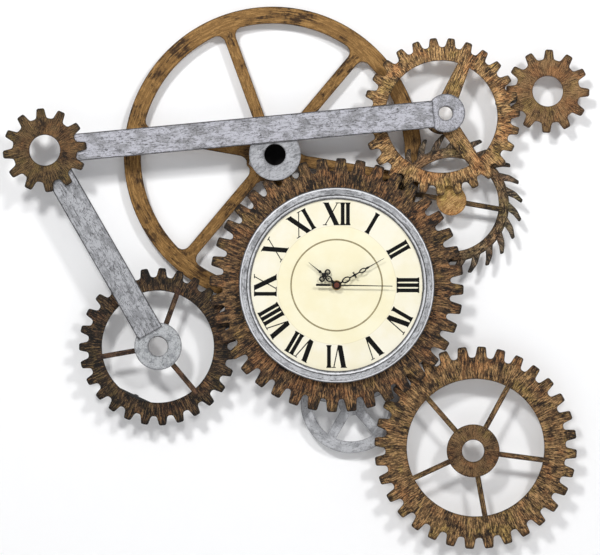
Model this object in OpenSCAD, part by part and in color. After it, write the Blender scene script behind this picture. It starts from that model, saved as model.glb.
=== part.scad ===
// Gear wall clock: sheet-metal gears, a flywheel and two links around a dial with a quartz movement.
// X is to the right, Z is up and Y runs into the wall. The wall is at y = 0, and the origin lies on it,
// midway between the two keyhole entries, behind the centre of the flywheel.
// A "depth" is how far a piece's back stands in front of the wall. Places are [x, z] in that plane.

/* [Flywheel] */
// Outer radius of the flywheel
flywheel_r = 230; // [215:1:245]
// Width of the flywheel's rim
flywheel_rim_w = 26; // [20:1:32]
// Thickness of the flywheel's plate
flywheel_t = 2.5; // [2:0.5:4]
// Number of spokes in the flywheel
flywheel_spokes = 6; // [5:1:7]
// Width of a flywheel spoke
flywheel_spoke_w = 18; // [14:1:24]
// Radius of the curve where a spoke joins the rim
flywheel_fillet = 14; // [8:1:20]
// Angle of the flywheel's first spoke
flywheel_turn = 50; // [0:1:60]
// Distance from the wall to the flywheel's back
flywheel_depth = 12; // [10:0.5:20]

/* [Dial gear] */
// Centre of the dial gear
dial_gear_at = [98, -200]; // [-300:1:300]
// Number of teeth on the dial gear
dial_gear_teeth = 40; // [36:1:44]
// Radius to the dial gear's tooth tips
dial_gear_tip_r = 194.5; // [190:0.5:200]
// Depth of the dial gear's teeth
dial_gear_tooth_h = 20; // [15:0.5:24]
// Width of a dial gear tooth at its tip
dial_gear_tip_w = 14.5; // [12:0.5:18]
// Width of a dial gear tooth at its root
dial_gear_root_w = 20; // [17:0.5:25]
// Angle of the dial gear's first tooth
dial_gear_turn = 6.9; // [0:0.1:9]

/* [Side gears] */
// Centre of the upper gear
upper_gear_at = [259, 58.5]; // [-600:0.5:600]
// Centre of the lower left gear
left_gear_at = [-176, -294.5]; // [-600:0.5:600]
// Number of teeth on the upper and the lower left gear
side_gear_teeth = 27; // [24:1:30]
// Radius to the tooth tips of the upper and the lower left gear
side_gear_tip_r = 121; // [115:0.5:126]
// Depth of the teeth of the upper and the lower left gear
side_gear_tooth_h = 14; // [10:0.5:18]
// Inner radius of the rims of the upper and the lower left gear
side_gear_rim_r = 86; // [80:0.5:92]
// Centre of the lower right gear
right_gear_at = [311.5, -449.5]; // [-600:0.5:600]
// Number of teeth on the lower right gear
right_gear_teeth = 32; // [29:1:35]
// Radius to the lower right gear's tooth tips
right_gear_tip_r = 155.5; // [150:0.5:160]
// Depth of the lower right gear's teeth
right_gear_tooth_h = 17; // [13:0.5:20]
// Inner radius of the lower right gear's rim
right_gear_rim_r = 105.5; // [98:0.5:112]
// Width of the thin flat spokes
thin_spoke_w = 8; // [6:0.5:11]
// Thickness of the thin flat spokes
thin_spoke_t = 1.5; // [1:0.5:2.5]
// Outer radius of the lower right gear's hub ring
hub_ring_r = 40.5; // [35:0.5:46]
// Radius of the hole in the lower right gear's hub ring
hub_ring_hole_r = 17; // [12:0.5:22]

/* [Pinions] */
// Centre of the left pinion
left_pinion_at = [-347.5, 6]; // [-600:0.5:600]
// Centre of the right pinion
right_pinion_at = [423.5, 98.5]; // [-600:0.5:600]
// Number of teeth on each pinion
pinion_teeth = 12; // [10:1:14]
// Radius to a pinion's tooth tips
pinion_tip_r = 64.3; // [60:0.1:68]
// Depth of a pinion's teeth
pinion_tooth_h = 15; // [12:0.5:18]
// Radius of the hole in a pinion
pinion_hole_r = 23.4; // [20:0.2:26]

/* [Escape wheel] */
// Centre of the escape wheel
escape_at = [276, -76]; // [-600:0.5:600]
// Number of curved teeth
escape_teeth = 23; // [20:1:26]
// Radius to the curved teeth's tips
escape_tip_r = 109; // [104:0.5:114]
// Outer radius of the ring
escape_ring_r = 86.5; // [84:0.5:90]
// How far the toothed plate's rim stands out from under the ring
escape_lip = 1.5; // [1:0.5:3]
// Inner radius of the ring
escape_inner_r = 72; // [68:0.5:76]
// Thickness of the toothed plate, and of the ring in front of it
escape_t = 1.5; // [1:0.5:2.5]
// Radius of the gold cap disc
escape_cap_r = 23; // [18:0.5:28]

/* [Slotted wheel] */
// Centre of the slotted wheel
slotted_at = [121, -381.5]; // [-600:0.5:600]
// Outer radius of the slotted wheel
slotted_r = 78; // [72:0.5:84]
// Width of the slotted wheel's rim
slotted_rim_w = 18; // [14:0.5:22]
// Number of spokes in the slotted wheel
slotted_spokes = 5; // [4:1:6]

/* [Links] */
// Width of the two link bars
link_w = 41.5; // [36:0.5:48]
// Thickness of the link bars and of their eyes
link_t = 2; // [1.5:0.5:3]
// Outer radius of the long link's middle eye
middle_eye_r = 39.5; // [36:0.5:44]
// Radius of the hole in the long link's middle eye
middle_eye_hole_r = 16.5; // [12:0.5:20]
// Centre of the long link's end eye
upper_eye_at = [265, 63]; // [-600:0.5:600]
// Outer radius of the long link's end eye
upper_eye_r = 29.5; // [26:0.5:34]
// Radius of the hole in the long link's end eye
upper_eye_hole_r = 10.8; // [8:0.2:14]
// Outer radius of the short link's end eye
left_eye_r = 36.3; // [32:0.1:42]
// Radius of the hole in the short link's end eye
left_eye_hole_r = 15.2; // [11:0.2:19]

/* [Layers] */
// Thickness of the gear plates
gear_t = 2; // [1.5:0.5:3]
// Gap between the flywheel and the escape wheel behind the side gears
escape_gap = 7; // [5:0.5:12]
// Gap between the escape wheel and the side gears
side_gap = 7.5; // [5:0.5:12]
// Gap between the side gears and the dial gear
dial_gap = 7; // [5:0.5:12]
// Radius of the round spacer posts
post_r = 4; // [3:0.5:6]
// Thickness of the black bracket straps
strap_t = 2.5; // [2:0.5:4]
// Width of the black bracket straps
strap_w = 16; // [12:1:20]
// Width of the narrower strap that holds the right pinion
pinion_strap_w = 10; // [9:1:14]

/* [Dial] */
// Radius of the dial that shows inside the bezel
dial_r = 131; // [122:0.5:138]
// Width of the bezel ring, seen from the front
bezel_w = 18.5; // [15:0.5:22]
// Height of the bezel in front of the dial gear
bezel_h = 12; // [10:0.5:16]
// Thickness of the bezel's sheet
bezel_t = 1.2; // [0.8:0.1:1.6]
// Thickness of the dial plate
dial_t = 1; // [0.6:0.1:1.6]
// Thickness of the dial's backing disc
backing_t = 5; // [3:0.5:6]

/* [Hands] */
// Length of the hour hand from the centre to its tip
hour_hand_l = 55; // [50:0.5:62]
// Length of the minute hand from the centre to its tip
minute_hand_l = 83; // [74:0.5:92]
// Length of the second hand from the centre to its tip
second_hand_l = 85; // [75:0.5:95]
// Length of the second hand's tail
second_tail_l = 31.5; // [22:0.5:38]
// Thickness of the hour and minute hands
hand_t = 0.8; // [0.6:0.1:1.2]
// Gap between one hand and the next
hand_gap = 1.2; // [0.8:0.1:2]
// Angle of the hour hand, counted from the right
hour_angle = 141; // [0:1:360]
// Angle of the minute hand, counted from the right
minute_angle = 29.5; // [0:0.5:360]
// Angle of the second hand, counted from the right
second_angle = -1; // [-180:1:180]

/* [Movement] */
// Width and height of the movement's case
case_w = 56; // [54:0.5:62]
// Thickness of the movement's case
case_t = 16; // [16:0.5:20]
// Thickness of the case walls
case_wall = 1.2; // [1:0.1:1.4]
// Radius of the battery
battery_r = 7.1; // [6.8:0.1:7.2]
// Length of the battery with its nub
battery_l = 50.5; // [48:0.5:51]
// Radius of the second hand's arbor
arbor_r = 0.6; // [0.5:0.05:0.7]
// Wall of each of the nested tubes that carry the hands
tube_wall = 0.84; // [0.7:0.02:0.9]
// Radial gap between an arbor or a tube and what it turns in
running_gap = 0.06; // [0.03:0.01:0.1]
// Play between the teeth of two small wheels
backlash = 0.14; // [0.1:0.01:0.2]

/* [Hanging] */
// Radius of the keyhole's round entry
keyhole_r = 5; // [4:0.5:6]
// Width of the keyhole's slot
keyhole_slot_w = 5; // [4:0.5:6]
// Length of the keyhole's slot above its entry
keyhole_slot_l = 10; // [8:0.5:14]
// Thickness of the hanger plates and of the rubber foot pads
hanger_t = 2; // [1.5:0.5:3]

/* [Hidden] */
$fn = 96;

bronze = "peru";
gold = "goldenrod";
silver = "silver";
black = [0.12, 0.12, 0.12];
brass = "gold";

// Depths of the layers, from the wall forwards
flywheel_front = flywheel_depth + flywheel_t;
escape_depth = flywheel_front + escape_gap;
escape_front = escape_depth + 2 * escape_t;
side_depth = escape_front + side_gap;
side_front = side_depth + gear_t;
dial_gear_depth = side_front + dial_gap;
dial_gear_front = dial_gear_depth + gear_t;
left_eye_depth = dial_gear_front - 1;
short_link_depth = left_eye_depth + link_t;
eye_depth = short_link_depth;
long_link_depth = eye_depth + link_t;
left_pinion_depth = long_link_depth + link_t;
right_pinion_depth = escape_depth + 0.5;
bracket_depth = side_depth - strap_t;

// Rim radii
flywheel_rim_r = flywheel_r - flywheel_rim_w;
flywheel_mid_r = flywheel_r - flywheel_rim_w / 2;
flywheel_hub_r = middle_eye_r - 3.5;
side_root_r = side_gear_tip_r - side_gear_tooth_h;
side_mid_r = (side_root_r + side_gear_rim_r) / 2;
right_root_r = right_gear_tip_r - right_gear_tooth_h;
right_mid_r = (right_root_r + right_gear_rim_r) / 2;
dial_root_r = dial_gear_tip_r - dial_gear_tooth_h;
pinion_root_r = pinion_tip_r - pinion_tooth_h;
pinion_mid_r = (pinion_root_r + pinion_hole_r) / 2;
escape_mid_r = (escape_ring_r + escape_inner_r) / 2;
slotted_hub_r = 20;
slotted_spoke_w = 15;
spoke_lap = 9;
tube_t = 3.5;

// Depths at the dial and the hands, from the dial gear forwards
backing_depth = dial_gear_front;
dial_depth = backing_depth + backing_t;
dial_front = dial_depth + dial_t;
backing_r = dial_r + 5;
bezel_r = dial_r + bezel_w;
gasket_t = 0.5;
washer_t = 0.6;
nut_t = 2.5;
nut_r = 6.4;
bush_front = dial_front + washer_t + nut_t + 0.4;
hour_depth = bush_front + 0.6;
minute_depth = hour_depth + hand_t + hand_gap;
second_depth = minute_depth + hand_t + hand_gap;
second_hand_t = 0.5;
cap_t = 1.6;

// Nested tubes, from the second hand's arbor outwards
minute_bore_r = arbor_r + running_gap;
minute_tube_r = minute_bore_r + tube_wall;
hour_bore_r = minute_tube_r + running_gap;
hour_tube_r = hour_bore_r + tube_wall;
bush_bore_r = hour_tube_r + running_gap;
bush_r = bush_bore_r + 1.54;

// The movement, measured back from its front face; its case hangs below the hands' axis
case_front = dial_depth - gasket_t;
case_half = case_w / 2;
case_top = case_half - 5;
case_bottom = case_top - case_w;
inner_half = case_half - case_wall;
case_split = 8;
opening_w = case_w + 8;
layer_t = 1;
hour_layer = 1.8;
motion_layer = 3;
centre_layer = 4.4;
third_layer = 5.8;
second_layer = 7.2;
fifth_layer = 8.6;
bearing_depth = 10.4;
bearing_t = 1.2;
board_depth = bearing_depth + bearing_t;
board_t = 0.8;
battery_z = case_bottom + case_wall + battery_r + 0.5;
bay_z = battery_z + battery_r + 0.6;
pivot_r = 0.5;

// The coil stands beside the works, on the stator's core
coil_x = -inner_half + 3.6;
coil_low = -8;
coil_high = 9;
coil_r = 3;
stator_t = 0.8;
stator_from = 6.6;
stator_w = 2;
magnet_r = 2.8;

// Teeth of the movement's wheels
rotor_teeth = 10;
fifth_teeth = 60;
fifth_pinion = 10;
second_teeth = 50;
second_pinion = 10;
third_teeth = 75;
third_pinion = 10;
centre_teeth = 80;
cannon_teeth = 12;
minute_teeth = 36;
minute_pinion = 10;
hour_teeth = 40;
knob_teeth = 12;

// Arbors of the movement's wheels, as [x, z] from the hands' axis
third_angle = 35;
third_distance = 14.5;
third_at = third_distance * heading(third_angle);
fifth_angle = 145;
fifth_distance = 12;
fifth_at = fifth_distance * heading(fifth_angle);
rotor_angle = 245;
rotor_distance = 12;
rotor_at = fifth_at + rotor_distance * heading(rotor_angle);
minute_wheel_angle = 300;
minute_wheel_distance = 9;
minute_wheel_at = minute_wheel_distance * heading(minute_wheel_angle);
knob_angle = -10;
knob_at = minute_wheel_at + minute_wheel_distance * heading(knob_angle);

// ---- Plane geometry ----

// Unit vector at an angle from the right, counter-clockwise
function heading(angle) = [cos(angle), sin(angle)];

// Angle of the line from one place to another
function angle_to(from, to) = atan2(to[1] - from[1], to[0] - from[0]);

// Place a given distance from one place towards another
function towards(from, to, distance) = from + distance * heading(angle_to(from, to));

// Where a circle about one centre crosses a circle about another, on the left (+1) or right (-1) of the line
function crossing(a, ra, b, rb, side) =
    let (d = norm(b - a), along = (d * d + ra * ra - rb * rb) / (2 * d), off = sqrt(ra * ra - along * along))
    a + along * (b - a) / d + side * off * [a[1] - b[1], b[0] - a[0]] / d;

function turned(p, angle) = [p[0] * cos(angle) - p[1] * sin(angle), p[0] * sin(angle) + p[1] * cos(angle)];

// One corner of an outline, rounded with an arc of short steps
function round_corner(before, p, after, r, steps) =
    let (
        u = (before - p) / norm(before - p),
        v = (after - p) / norm(after - p),
        half = acos(max(-1, min(1, u * v))) / 2,
        reach = min(r / tan(half), 0.48 * norm(before - p), 0.48 * norm(after - p)),
        arc_r = reach * tan(half),
        centre = p + (u + v) / norm(u + v) * arc_r / sin(half),
        from = p + u * reach - centre,
        side = u[0] * v[1] - u[1] * v[0] > 0 ? -1 : 1
    )
    [for (i = [0 : steps]) centre + turned(from, side * (180 - 2 * half) * i / steps)];

// An outline with each corner rounded by its own radius, where 0 leaves it sharp
function rounded(points, radii, steps = 3) =
    let (n = len(points))
    [for (i = [0 : n - 1])
        each radii[i] > 0
            ? round_corner(points[(i + n - 1) % n], points[i], points[(i + 1) % n], radii[i], steps)
            : [points[i]]];

// Outline of a stamped gear with straight-sided teeth and rounded corners
function gear_outline(teeth, tip_r, root_r, tip_w, root_w, turn) =
    let (
        root_x = sqrt(root_r * root_r - root_w * root_w / 4),
        tip_x = sqrt(tip_r * tip_r - tip_w * tip_w / 4),
        corners = [[root_x, -root_w / 2], [tip_x, -tip_w / 2], [tip_x, tip_w / 2], [root_x, root_w / 2]],
        outline = [for (i = [0 : teeth - 1]) for (p = corners) turned(p, turn + 360 * i / teeth)],
        radii = [for (i = [0 : teeth - 1]) each [4.5, 3, 3, 4.5]]
    )
    rounded(outline, radii);

// Involute of an angle, in degrees
function involute(angle) = tan(angle) * 180 / PI - angle;

// Outline of a small involute wheel, with play between its teeth
pressure_angle = 25;
function wheel_outline(teeth, module_size, turn) =
    let (
        r = teeth * module_size / 2,
        base_r = r * cos(pressure_angle),
        tip_r = r + 0.8 * module_size,
        root_r = r - 1.15 * module_size,
        start_r = max(base_r, root_r + 0.05 * module_size),
        half = 90 / teeth - backlash / 2 / r * 90 / PI,
        flank = [for (i = [0 : 3])
            let (rho = start_r + (tip_r - start_r) * i / 3)
            [rho, half + involute(pressure_angle) - involute(acos(min(1, base_r / rho)))]],
        side = concat([[root_r, flank[0][1]]], flank)
    )
    [for (i = [0 : teeth - 1])
        let (middle = turn + 360 * i / teeth)
        each concat(
            [for (k = [0 : 4]) side[k][0] * heading(middle - side[k][1])],
            [for (k = [0 : 4]) side[4 - k][0] * heading(middle + side[4 - k][1])]
        )];

// Module of two meshing wheels on centres a given distance apart
function module_for(distance, teeth_a, teeth_b) = 2 * distance / (teeth_a + teeth_b);

// Turn of a wheel that meshes with one at the given turn, along the line from that one to this
function mesh_turn(line, turn_a, teeth_a, teeth_b) =
    line + 180 - (0.5 - (line - turn_a) * teeth_a / 360) * 360 / teeth_b;

// ---- Placing ----

// A flat shape drawn in the [x, z] plane, made a sheet whose back stands at a depth
module sheet(depth, thickness) {
    translate([0, -depth, 0]) rotate([90, 0, 0]) linear_extrude(thickness) children();
}

module at(place) {
    translate([place[0], 0, place[1]]) children();
}

module rod(place, depth, front, r) {
    at(place) sheet(depth, front - depth) circle(r);
}

module tube(place, depth, front, r, bore_r) {
    at(place) sheet(depth, front - depth) ring(r, bore_r);
}

module ring(r, inner_r) {
    difference() {
        circle(r);
        circle(inner_r);
    }
}

// A strap with round ends between two places
module strap(from, to, width) {
    line = angle_to(from, to);
    polygon(concat(
        [for (i = [0 : 12]) from + width / 2 * heading(line + 90 + 15 * i)],
        [for (i = [0 : 12]) to + width / 2 * heading(line - 90 + 15 * i)]
    ));
}

module circle_at(place, r) {
    translate(place) circle(r);
}

// A straight bar of even width, from one distance to another along a heading
module bar(angle, from, to, width) {
    rotate(angle) translate([from, -width / 2]) square([to - from, width]);
}

// ---- Flywheel ----

// Half width of a flywheel spoke at a radius, flared into the rim and the hub
function flare(distance) =
    distance >= flywheel_fillet ? 0
    : flywheel_fillet - sqrt(pow(flywheel_fillet, 2) - pow(flywheel_fillet - distance, 2));

module flywheel_spoke() {
    inner = flywheel_hub_r - 2;
    outer = flywheel_rim_r + 2;
    steps = [for (i = [0 : 5]) i / 5 * flywheel_fillet];
    radii = concat([inner], [for (s = steps) flywheel_hub_r + s],
        [for (i = [0 : 5]) flywheel_rim_r - steps[5 - i]], [outer]);
    half = [for (r = radii)
        flywheel_spoke_w / 2 + flare(max(0, r - flywheel_hub_r)) + flare(max(0, flywheel_rim_r - r))];
    last = len(radii) - 1;
    polygon(concat(
        [for (i = [0 : last]) [radii[i], -half[i]]],
        [for (i = [0 : last]) [radii[last - i], half[last - i]]]
    ));
}

module flywheel() {
    color(gold) sheet(flywheel_depth, flywheel_t) {
        ring(flywheel_r, flywheel_rim_r);
        circle(flywheel_hub_r);
        for (i = [0 : flywheel_spokes - 1])
            rotate(flywheel_turn + 360 * i / flywheel_spokes) flywheel_spoke();
    }
}

// ---- Gears ----

side_tip_w = 10.5;
side_root_w = 16.5;
right_tip_w = 13;
right_root_w = 18;
pinion_tip_w = 11.5;
pinion_root_w = 16;

module pinion(place, depth, turn) {
    at(place) sheet(depth, gear_t) difference() {
        polygon(gear_outline(pinion_teeth, pinion_tip_r, pinion_root_r, pinion_tip_w, pinion_root_w, turn));
        circle(pinion_hole_r);
    }
}

module left_pinion() {
    color(bronze) pinion(left_pinion_at, left_pinion_depth, 6.2);
}

module right_pinion() {
    color(bronze) pinion(right_pinion_at, right_pinion_depth, 28.1);
}

module side_gear(turn) {
    difference() {
        polygon(gear_outline(side_gear_teeth, side_gear_tip_r, side_root_r, side_tip_w, side_root_w, turn));
        circle(side_gear_rim_r);
    }
}

upper_spokes = [66.5, 186.5, 306.5];
upper_hub_r = upper_eye_r - 2.5;

module upper_gear() {
    hub_half = 15;
    rim_half = 9.7;
    color(bronze) at(upper_gear_at) sheet(side_depth, gear_t) {
        side_gear(2.7);
        difference() {
            union() {
                circle(upper_hub_r);
                for (a = upper_spokes)
                    rotate(a) polygon([[10, -hub_half], [side_gear_rim_r + 2, -rim_half],
                        [side_gear_rim_r + 2, rim_half], [10, hub_half]]);
            }
            circle_at(upper_eye_at - upper_gear_at, upper_eye_hole_r);
        }
    }
}

module lower_left_gear_rim() {
    color(bronze) at(left_gear_at) sheet(side_depth, gear_t) side_gear(6.8);
}

module lower_left_gear_spokes() {
    hub_r = left_eye_r - 4;
    color(bronze) at(left_gear_at) sheet(side_front, thin_spoke_t) {
        ring(hub_r, left_eye_hole_r);
        for (a = [70, 190, 310]) bar(a, hub_r - 1, side_gear_rim_r + spoke_lap, thin_spoke_w);
    }
}

module lower_right_gear_rim() {
    color(bronze) at(right_gear_at) sheet(side_depth, gear_t) difference() {
        polygon(gear_outline(right_gear_teeth, right_gear_tip_r, right_root_r, right_tip_w, right_root_w,
            7.8));
        circle(right_gear_rim_r);
    }
}

hub_ring_at = right_gear_at + [-4, -4.5];

module lower_right_gear_spokes() {
    color(bronze) sheet(side_front, thin_spoke_t) {
        translate(hub_ring_at) ring(hub_ring_r - 6, hub_ring_hole_r);
        difference() {
            for (i = [0 : 4]) {
                end = right_gear_at + (right_gear_rim_r + spoke_lap) * heading(62 + 72 * i);
                translate(hub_ring_at)
                    bar(angle_to(hub_ring_at, end), hub_ring_r - 8, norm(end - hub_ring_at), thin_spoke_w);
            }
            circle_at(hub_ring_at, hub_ring_hole_r);
        }
    }
}

module lower_right_gear_hub() {
    color(bronze) tube(hub_ring_at, side_front + thin_spoke_t, side_front + thin_spoke_t + gear_t, hub_ring_r,
        hub_ring_hole_r);
}

module dial_gear() {
    color(bronze) at(dial_gear_at) sheet(dial_gear_depth, gear_t) difference() {
        polygon(gear_outline(dial_gear_teeth, dial_gear_tip_r, dial_root_r, dial_gear_tip_w, dial_gear_root_w,
            dial_gear_turn));
        movement_opening();
        for (a = screw_angles) circle_at(screw_ring_r * heading(a), screw_r + 0.2);
    }
}

// ---- Escape wheel ----

// One curved finger, as polar corners [radius, angle ahead of the tip]
module escape_tooth() {
    root = escape_ring_r - 0.5;
    height = escape_tip_r - root;
    corners = [[root, 7.4], [root + 0.47 * height, 3.4], [escape_tip_r - 1.6, -1.3], [escape_tip_r + 0.2, 1.8],
        [root + 0.62 * height, 9], [root, 17.4]];
    polygon(rounded([for (c = corners) c[0] * heading(c[1])], [0, 20, 1.9, 2.2, 24, 0]));
}

module escape_wheel_teeth() {
    color(bronze) at(escape_at) sheet(escape_depth, escape_t) {
        ring(escape_ring_r + escape_lip, escape_inner_r + 1);
        for (i = [0 : escape_teeth - 1]) rotate(2.2 + 360 * i / escape_teeth) escape_tooth();
    }
}

module escape_wheel_ring() {
    color(bronze) tube(escape_at, escape_depth + escape_t, escape_front, escape_ring_r, escape_inner_r);
}

escape_cap_at = escape_at + [-1, 6];
escape_line = -10;

module escape_wheel_spoke() {
    reach = escape_inner_r + 6;
    middle = escape_cap_at - escape_at;
    across = turned(middle, -escape_line)[1];
    color(bronze) at(escape_at) sheet(escape_front, thin_spoke_t) rotate(escape_line)
        translate([-reach, across - thin_spoke_w / 2]) square([2 * reach, thin_spoke_w]);
}

module escape_wheel_cap() {
    back = escape_front + thin_spoke_t;
    color(gold) rod(escape_cap_at, back, back + 1.2, escape_cap_r);
}

// ---- Slotted wheel ----

module slotted_wheel() {
    inner = slotted_r - slotted_rim_w;
    color(silver) at(slotted_at) sheet(flywheel_depth, flywheel_t) {
        ring(slotted_r, inner);
        circle(slotted_hub_r);
        for (i = [0 : slotted_spokes - 1])
            bar(24 + 360 / slotted_spokes * i, slotted_hub_r - 3, inner + 2, slotted_spoke_w);
    }
}

// ---- Links ----

link_clear = pinion_hole_r + 4.5;
link_end = 8;
left_eye_at = left_gear_at + [1, 1];
middle_eye_at = [3.8, -0.5];

module link(from, to, start, end) {
    translate(from) bar(angle_to(from, to), start, norm(to - from) - end, link_w);
}

module long_link_bar() {
    color(silver) sheet(long_link_depth, link_t)
        link(left_pinion_at, upper_eye_at, link_clear, upper_eye_hole_r + link_end);
}

// The middle eye is a disc with a tab that runs up behind the bar
module long_link_middle_eye() {
    line = angle_to(left_pinion_at, upper_eye_at);
    color(silver) at(middle_eye_at) sheet(eye_depth, link_t) difference() {
        union() {
            circle(middle_eye_r);
            rotate(line) translate([-middle_eye_r + 2, 18]) square([2 * middle_eye_r - 4, link_w - 8]);
        }
        circle(middle_eye_hole_r);
    }
}

module long_link_end_eye() {
    color(silver) tube(upper_eye_at, eye_depth, long_link_depth, upper_eye_r, upper_eye_hole_r);
}

module short_link_bar() {
    color(silver) sheet(short_link_depth, link_t)
        link(left_pinion_at, left_eye_at, link_clear, left_eye_hole_r + link_end);
}

module short_link_end_eye() {
    color(silver) tube(left_eye_at, left_eye_depth, short_link_depth, left_eye_r, left_eye_hole_r);
}

module eye_tubes() {
    color(black) {
        tube(middle_eye_at, flywheel_front, eye_depth, middle_eye_hole_r + tube_t, middle_eye_hole_r);
        tube(upper_eye_at, side_front, eye_depth, upper_eye_hole_r + tube_t, upper_eye_hole_r);
        tube(left_eye_at, side_front + thin_spoke_t, left_eye_depth, left_eye_hole_r + tube_t,
            left_eye_hole_r);
    }
}

// ---- Posts, brackets and feet ----

// The first place, moving in from the dial gear's root, that stays clear of the left gear's bracket
function dial_post_at(inset) =
    let (
        place = crossing([0, 0], flywheel_mid_r, dial_gear_at, dial_root_r - inset, -1),
        along = (dial_gear_at - left_gear_at) / norm(dial_gear_at - left_gear_at),
        aside = abs(cross(along, place - left_gear_at))
    )
    inset > 100 || aside > strap_w / 2 + post_r + 1 ? place : dial_post_at(inset + 5);

upper_post = crossing([0, 0], flywheel_mid_r, upper_gear_at, side_mid_r, 1);
dial_post = dial_post_at(10);
escape_upper_post = crossing([0, 0], flywheel_mid_r, escape_at, escape_mid_r, 1);
escape_lower_post = crossing([0, 0], flywheel_mid_r, escape_at, escape_mid_r, -1);
slotted_post = towards(slotted_at, dial_gear_at, slotted_hub_r - post_r - 1);

module spacer_posts() {
    color(black) {
        rod(upper_post, flywheel_front, side_depth, post_r);
        rod(dial_post, flywheel_front, dial_gear_depth, post_r);
        rod(escape_upper_post, flywheel_front, escape_depth, post_r);
        rod(escape_upper_post, escape_front, side_depth, post_r);
        rod(escape_lower_post, flywheel_front, escape_depth, post_r);
        rod(escape_lower_post, escape_front, dial_gear_depth, post_r);
        rod(slotted_post, flywheel_front, dial_gear_depth, post_r);
    }
}

// A strap on a side gear's back that reaches under the dial gear, with a post up to it
module dial_bracket(gear_at, gear_r) {
    end = towards(dial_gear_at, gear_at, dial_root_r - 26);
    sheet(bracket_depth, strap_t) strap(towards(gear_at, dial_gear_at, gear_r), end, strap_w);
    rod(end, bracket_depth, dial_gear_depth, post_r);
}

module left_gear_bracket() {
    color(black) dial_bracket(left_gear_at, side_mid_r);
}

module right_gear_bracket() {
    color(black) dial_bracket(right_gear_at, right_mid_r);
}

module right_pinion_bracket() {
    inner = towards(upper_gear_at, right_pinion_at, side_mid_r - post_r - 1);
    outer = towards(right_pinion_at, upper_gear_at, pinion_mid_r);
    color(black) {
        sheet(right_pinion_depth - strap_t, strap_t) strap(inner, outer, pinion_strap_w);
        rod(towards(upper_gear_at, right_pinion_at, side_mid_r), right_pinion_depth, side_depth, post_r);
    }
}

foot_line = 245;
foot_reach = 21;
left_foot_at = left_gear_at + side_mid_r * cos(foot_reach) * heading(foot_line);
right_foot_at = right_gear_at + right_mid_r * heading(-100);
pinion_foot_at = right_pinion_at + pinion_mid_r * heading(45);
link_foot_at = towards(left_pinion_at, left_eye_at, pinion_mid_r);

module left_foot_strap() {
    color(black) sheet(bracket_depth, strap_t)
        strap(left_gear_at + side_mid_r * heading(foot_line - foot_reach),
            left_gear_at + side_mid_r * heading(foot_line + foot_reach), strap_w);
}

module wall_feet() {
    color(black) {
        rod(left_foot_at, hanger_t, bracket_depth, post_r);
        rod(right_foot_at, hanger_t, side_depth, post_r);
        rod(pinion_foot_at, hanger_t, right_pinion_depth, post_r);
        rod(link_foot_at, hanger_t, short_link_depth, post_r);
    }
}

module foot_pads() {
    color([0.2, 0.2, 0.2])
        for (place = [left_foot_at, right_foot_at, pinion_foot_at, link_foot_at])
            rod(place, 0, hanger_t, post_r + 3);
}

// ---- Hangers ----

hanger_w = 2 * keyhole_r + 10;
hanger_low = -keyhole_r - 9;
hanger_high = keyhole_slot_l + keyhole_slot_w / 2 + 10;
hanger_spacer_r = 2.5;

module hanger_plates() {
    color(black) for (side = [-1, 1]) at([side * flywheel_mid_r, 0]) sheet(0, hanger_t) difference() {
        strap([0, hanger_low + hanger_w / 2], [0, hanger_high - hanger_w / 2], hanger_w);
        circle(keyhole_r);
        translate([-keyhole_slot_w / 2, 0]) square([keyhole_slot_w, keyhole_slot_l]);
        circle_at([0, keyhole_slot_l], keyhole_slot_w / 2);
    }
}

module hanger_spacers() {
    color(black) for (side = [-1, 1]) for (z = [hanger_low + 4.5, hanger_high - 4.5])
        rod([side * flywheel_mid_r, z], hanger_t, flywheel_depth, hanger_spacer_r);
}

// ---- Dial ----

screw_angles = [80, 170, 260, 350];
screw_r = 1.5;
screw_l = 5.5;
boss_r = 3.5;
screw_ring_r = (backing_r + bezel_r - bezel_t) / 2;

module movement_opening() {
    translate([-opening_w / 2, case_bottom - 4]) square(opening_w);
}

module dial_backing() {
    color("burlywood") at(dial_gear_at) sheet(backing_depth, backing_t) difference() {
        circle(backing_r);
        movement_opening();
    }
}

module dial_plate() {
    color("cornsilk") tube(dial_gear_at, dial_depth, dial_front, backing_r, bush_r + running_gap);
}

// A hollow ring of pressed sheet, open at the back, with four screw bosses inside
module bezel() {
    lip = backing_t + dial_t;
    slope = 2.5;
    color(silver) at(dial_gear_at) rotate([90, 0, 0]) translate([0, 0, dial_gear_front]) {
        rotate_extrude($fn = 192) polygon([
            [bezel_r - bezel_t, 0], [bezel_r, 0], [bezel_r, bezel_h - 3], [bezel_r - 2, bezel_h - 0.6],
            [bezel_r - 5, bezel_h], [dial_r + 6, bezel_h], [dial_r + 1.5, bezel_h - slope],
            [dial_r, lip + 1.2], [dial_r, lip], [dial_r + bezel_t + 0.8, lip],
            [dial_r + bezel_t + 1.2, bezel_h - slope - bezel_t],
            [dial_r + 6, bezel_h - bezel_t], [bezel_r - 5, bezel_h - bezel_t],
            [bezel_r - bezel_t, bezel_h - 3 - bezel_t]
        ]);
        for (a = screw_angles) translate(screw_ring_r * heading(a)) difference() {
            cylinder(h = bezel_h - bezel_t, r = boss_r);
            translate([0, 0, -1]) cylinder(h = screw_l + 1, r = screw_r);
        }
    }
}

module bezel_screws() {
    color(silver) for (a = screw_angles) {
        place = dial_gear_at + screw_ring_r * heading(a);
        rod(place, dial_gear_depth - 1.8, dial_gear_depth, 2 * screw_r);
        rod(place, dial_gear_depth, dial_gear_front + screw_l, screw_r);
    }
}

// ---- Movement ----

// A flat shape inside the movement, from one distance behind its front face, about the hands' axis
module inside(from, thickness) {
    at(dial_gear_at) sheet(case_front - from - thickness, thickness) children();
}

module case_square(inset) {
    translate([-case_half + inset, case_bottom + inset]) square(case_w - 2 * inset);
}

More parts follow.
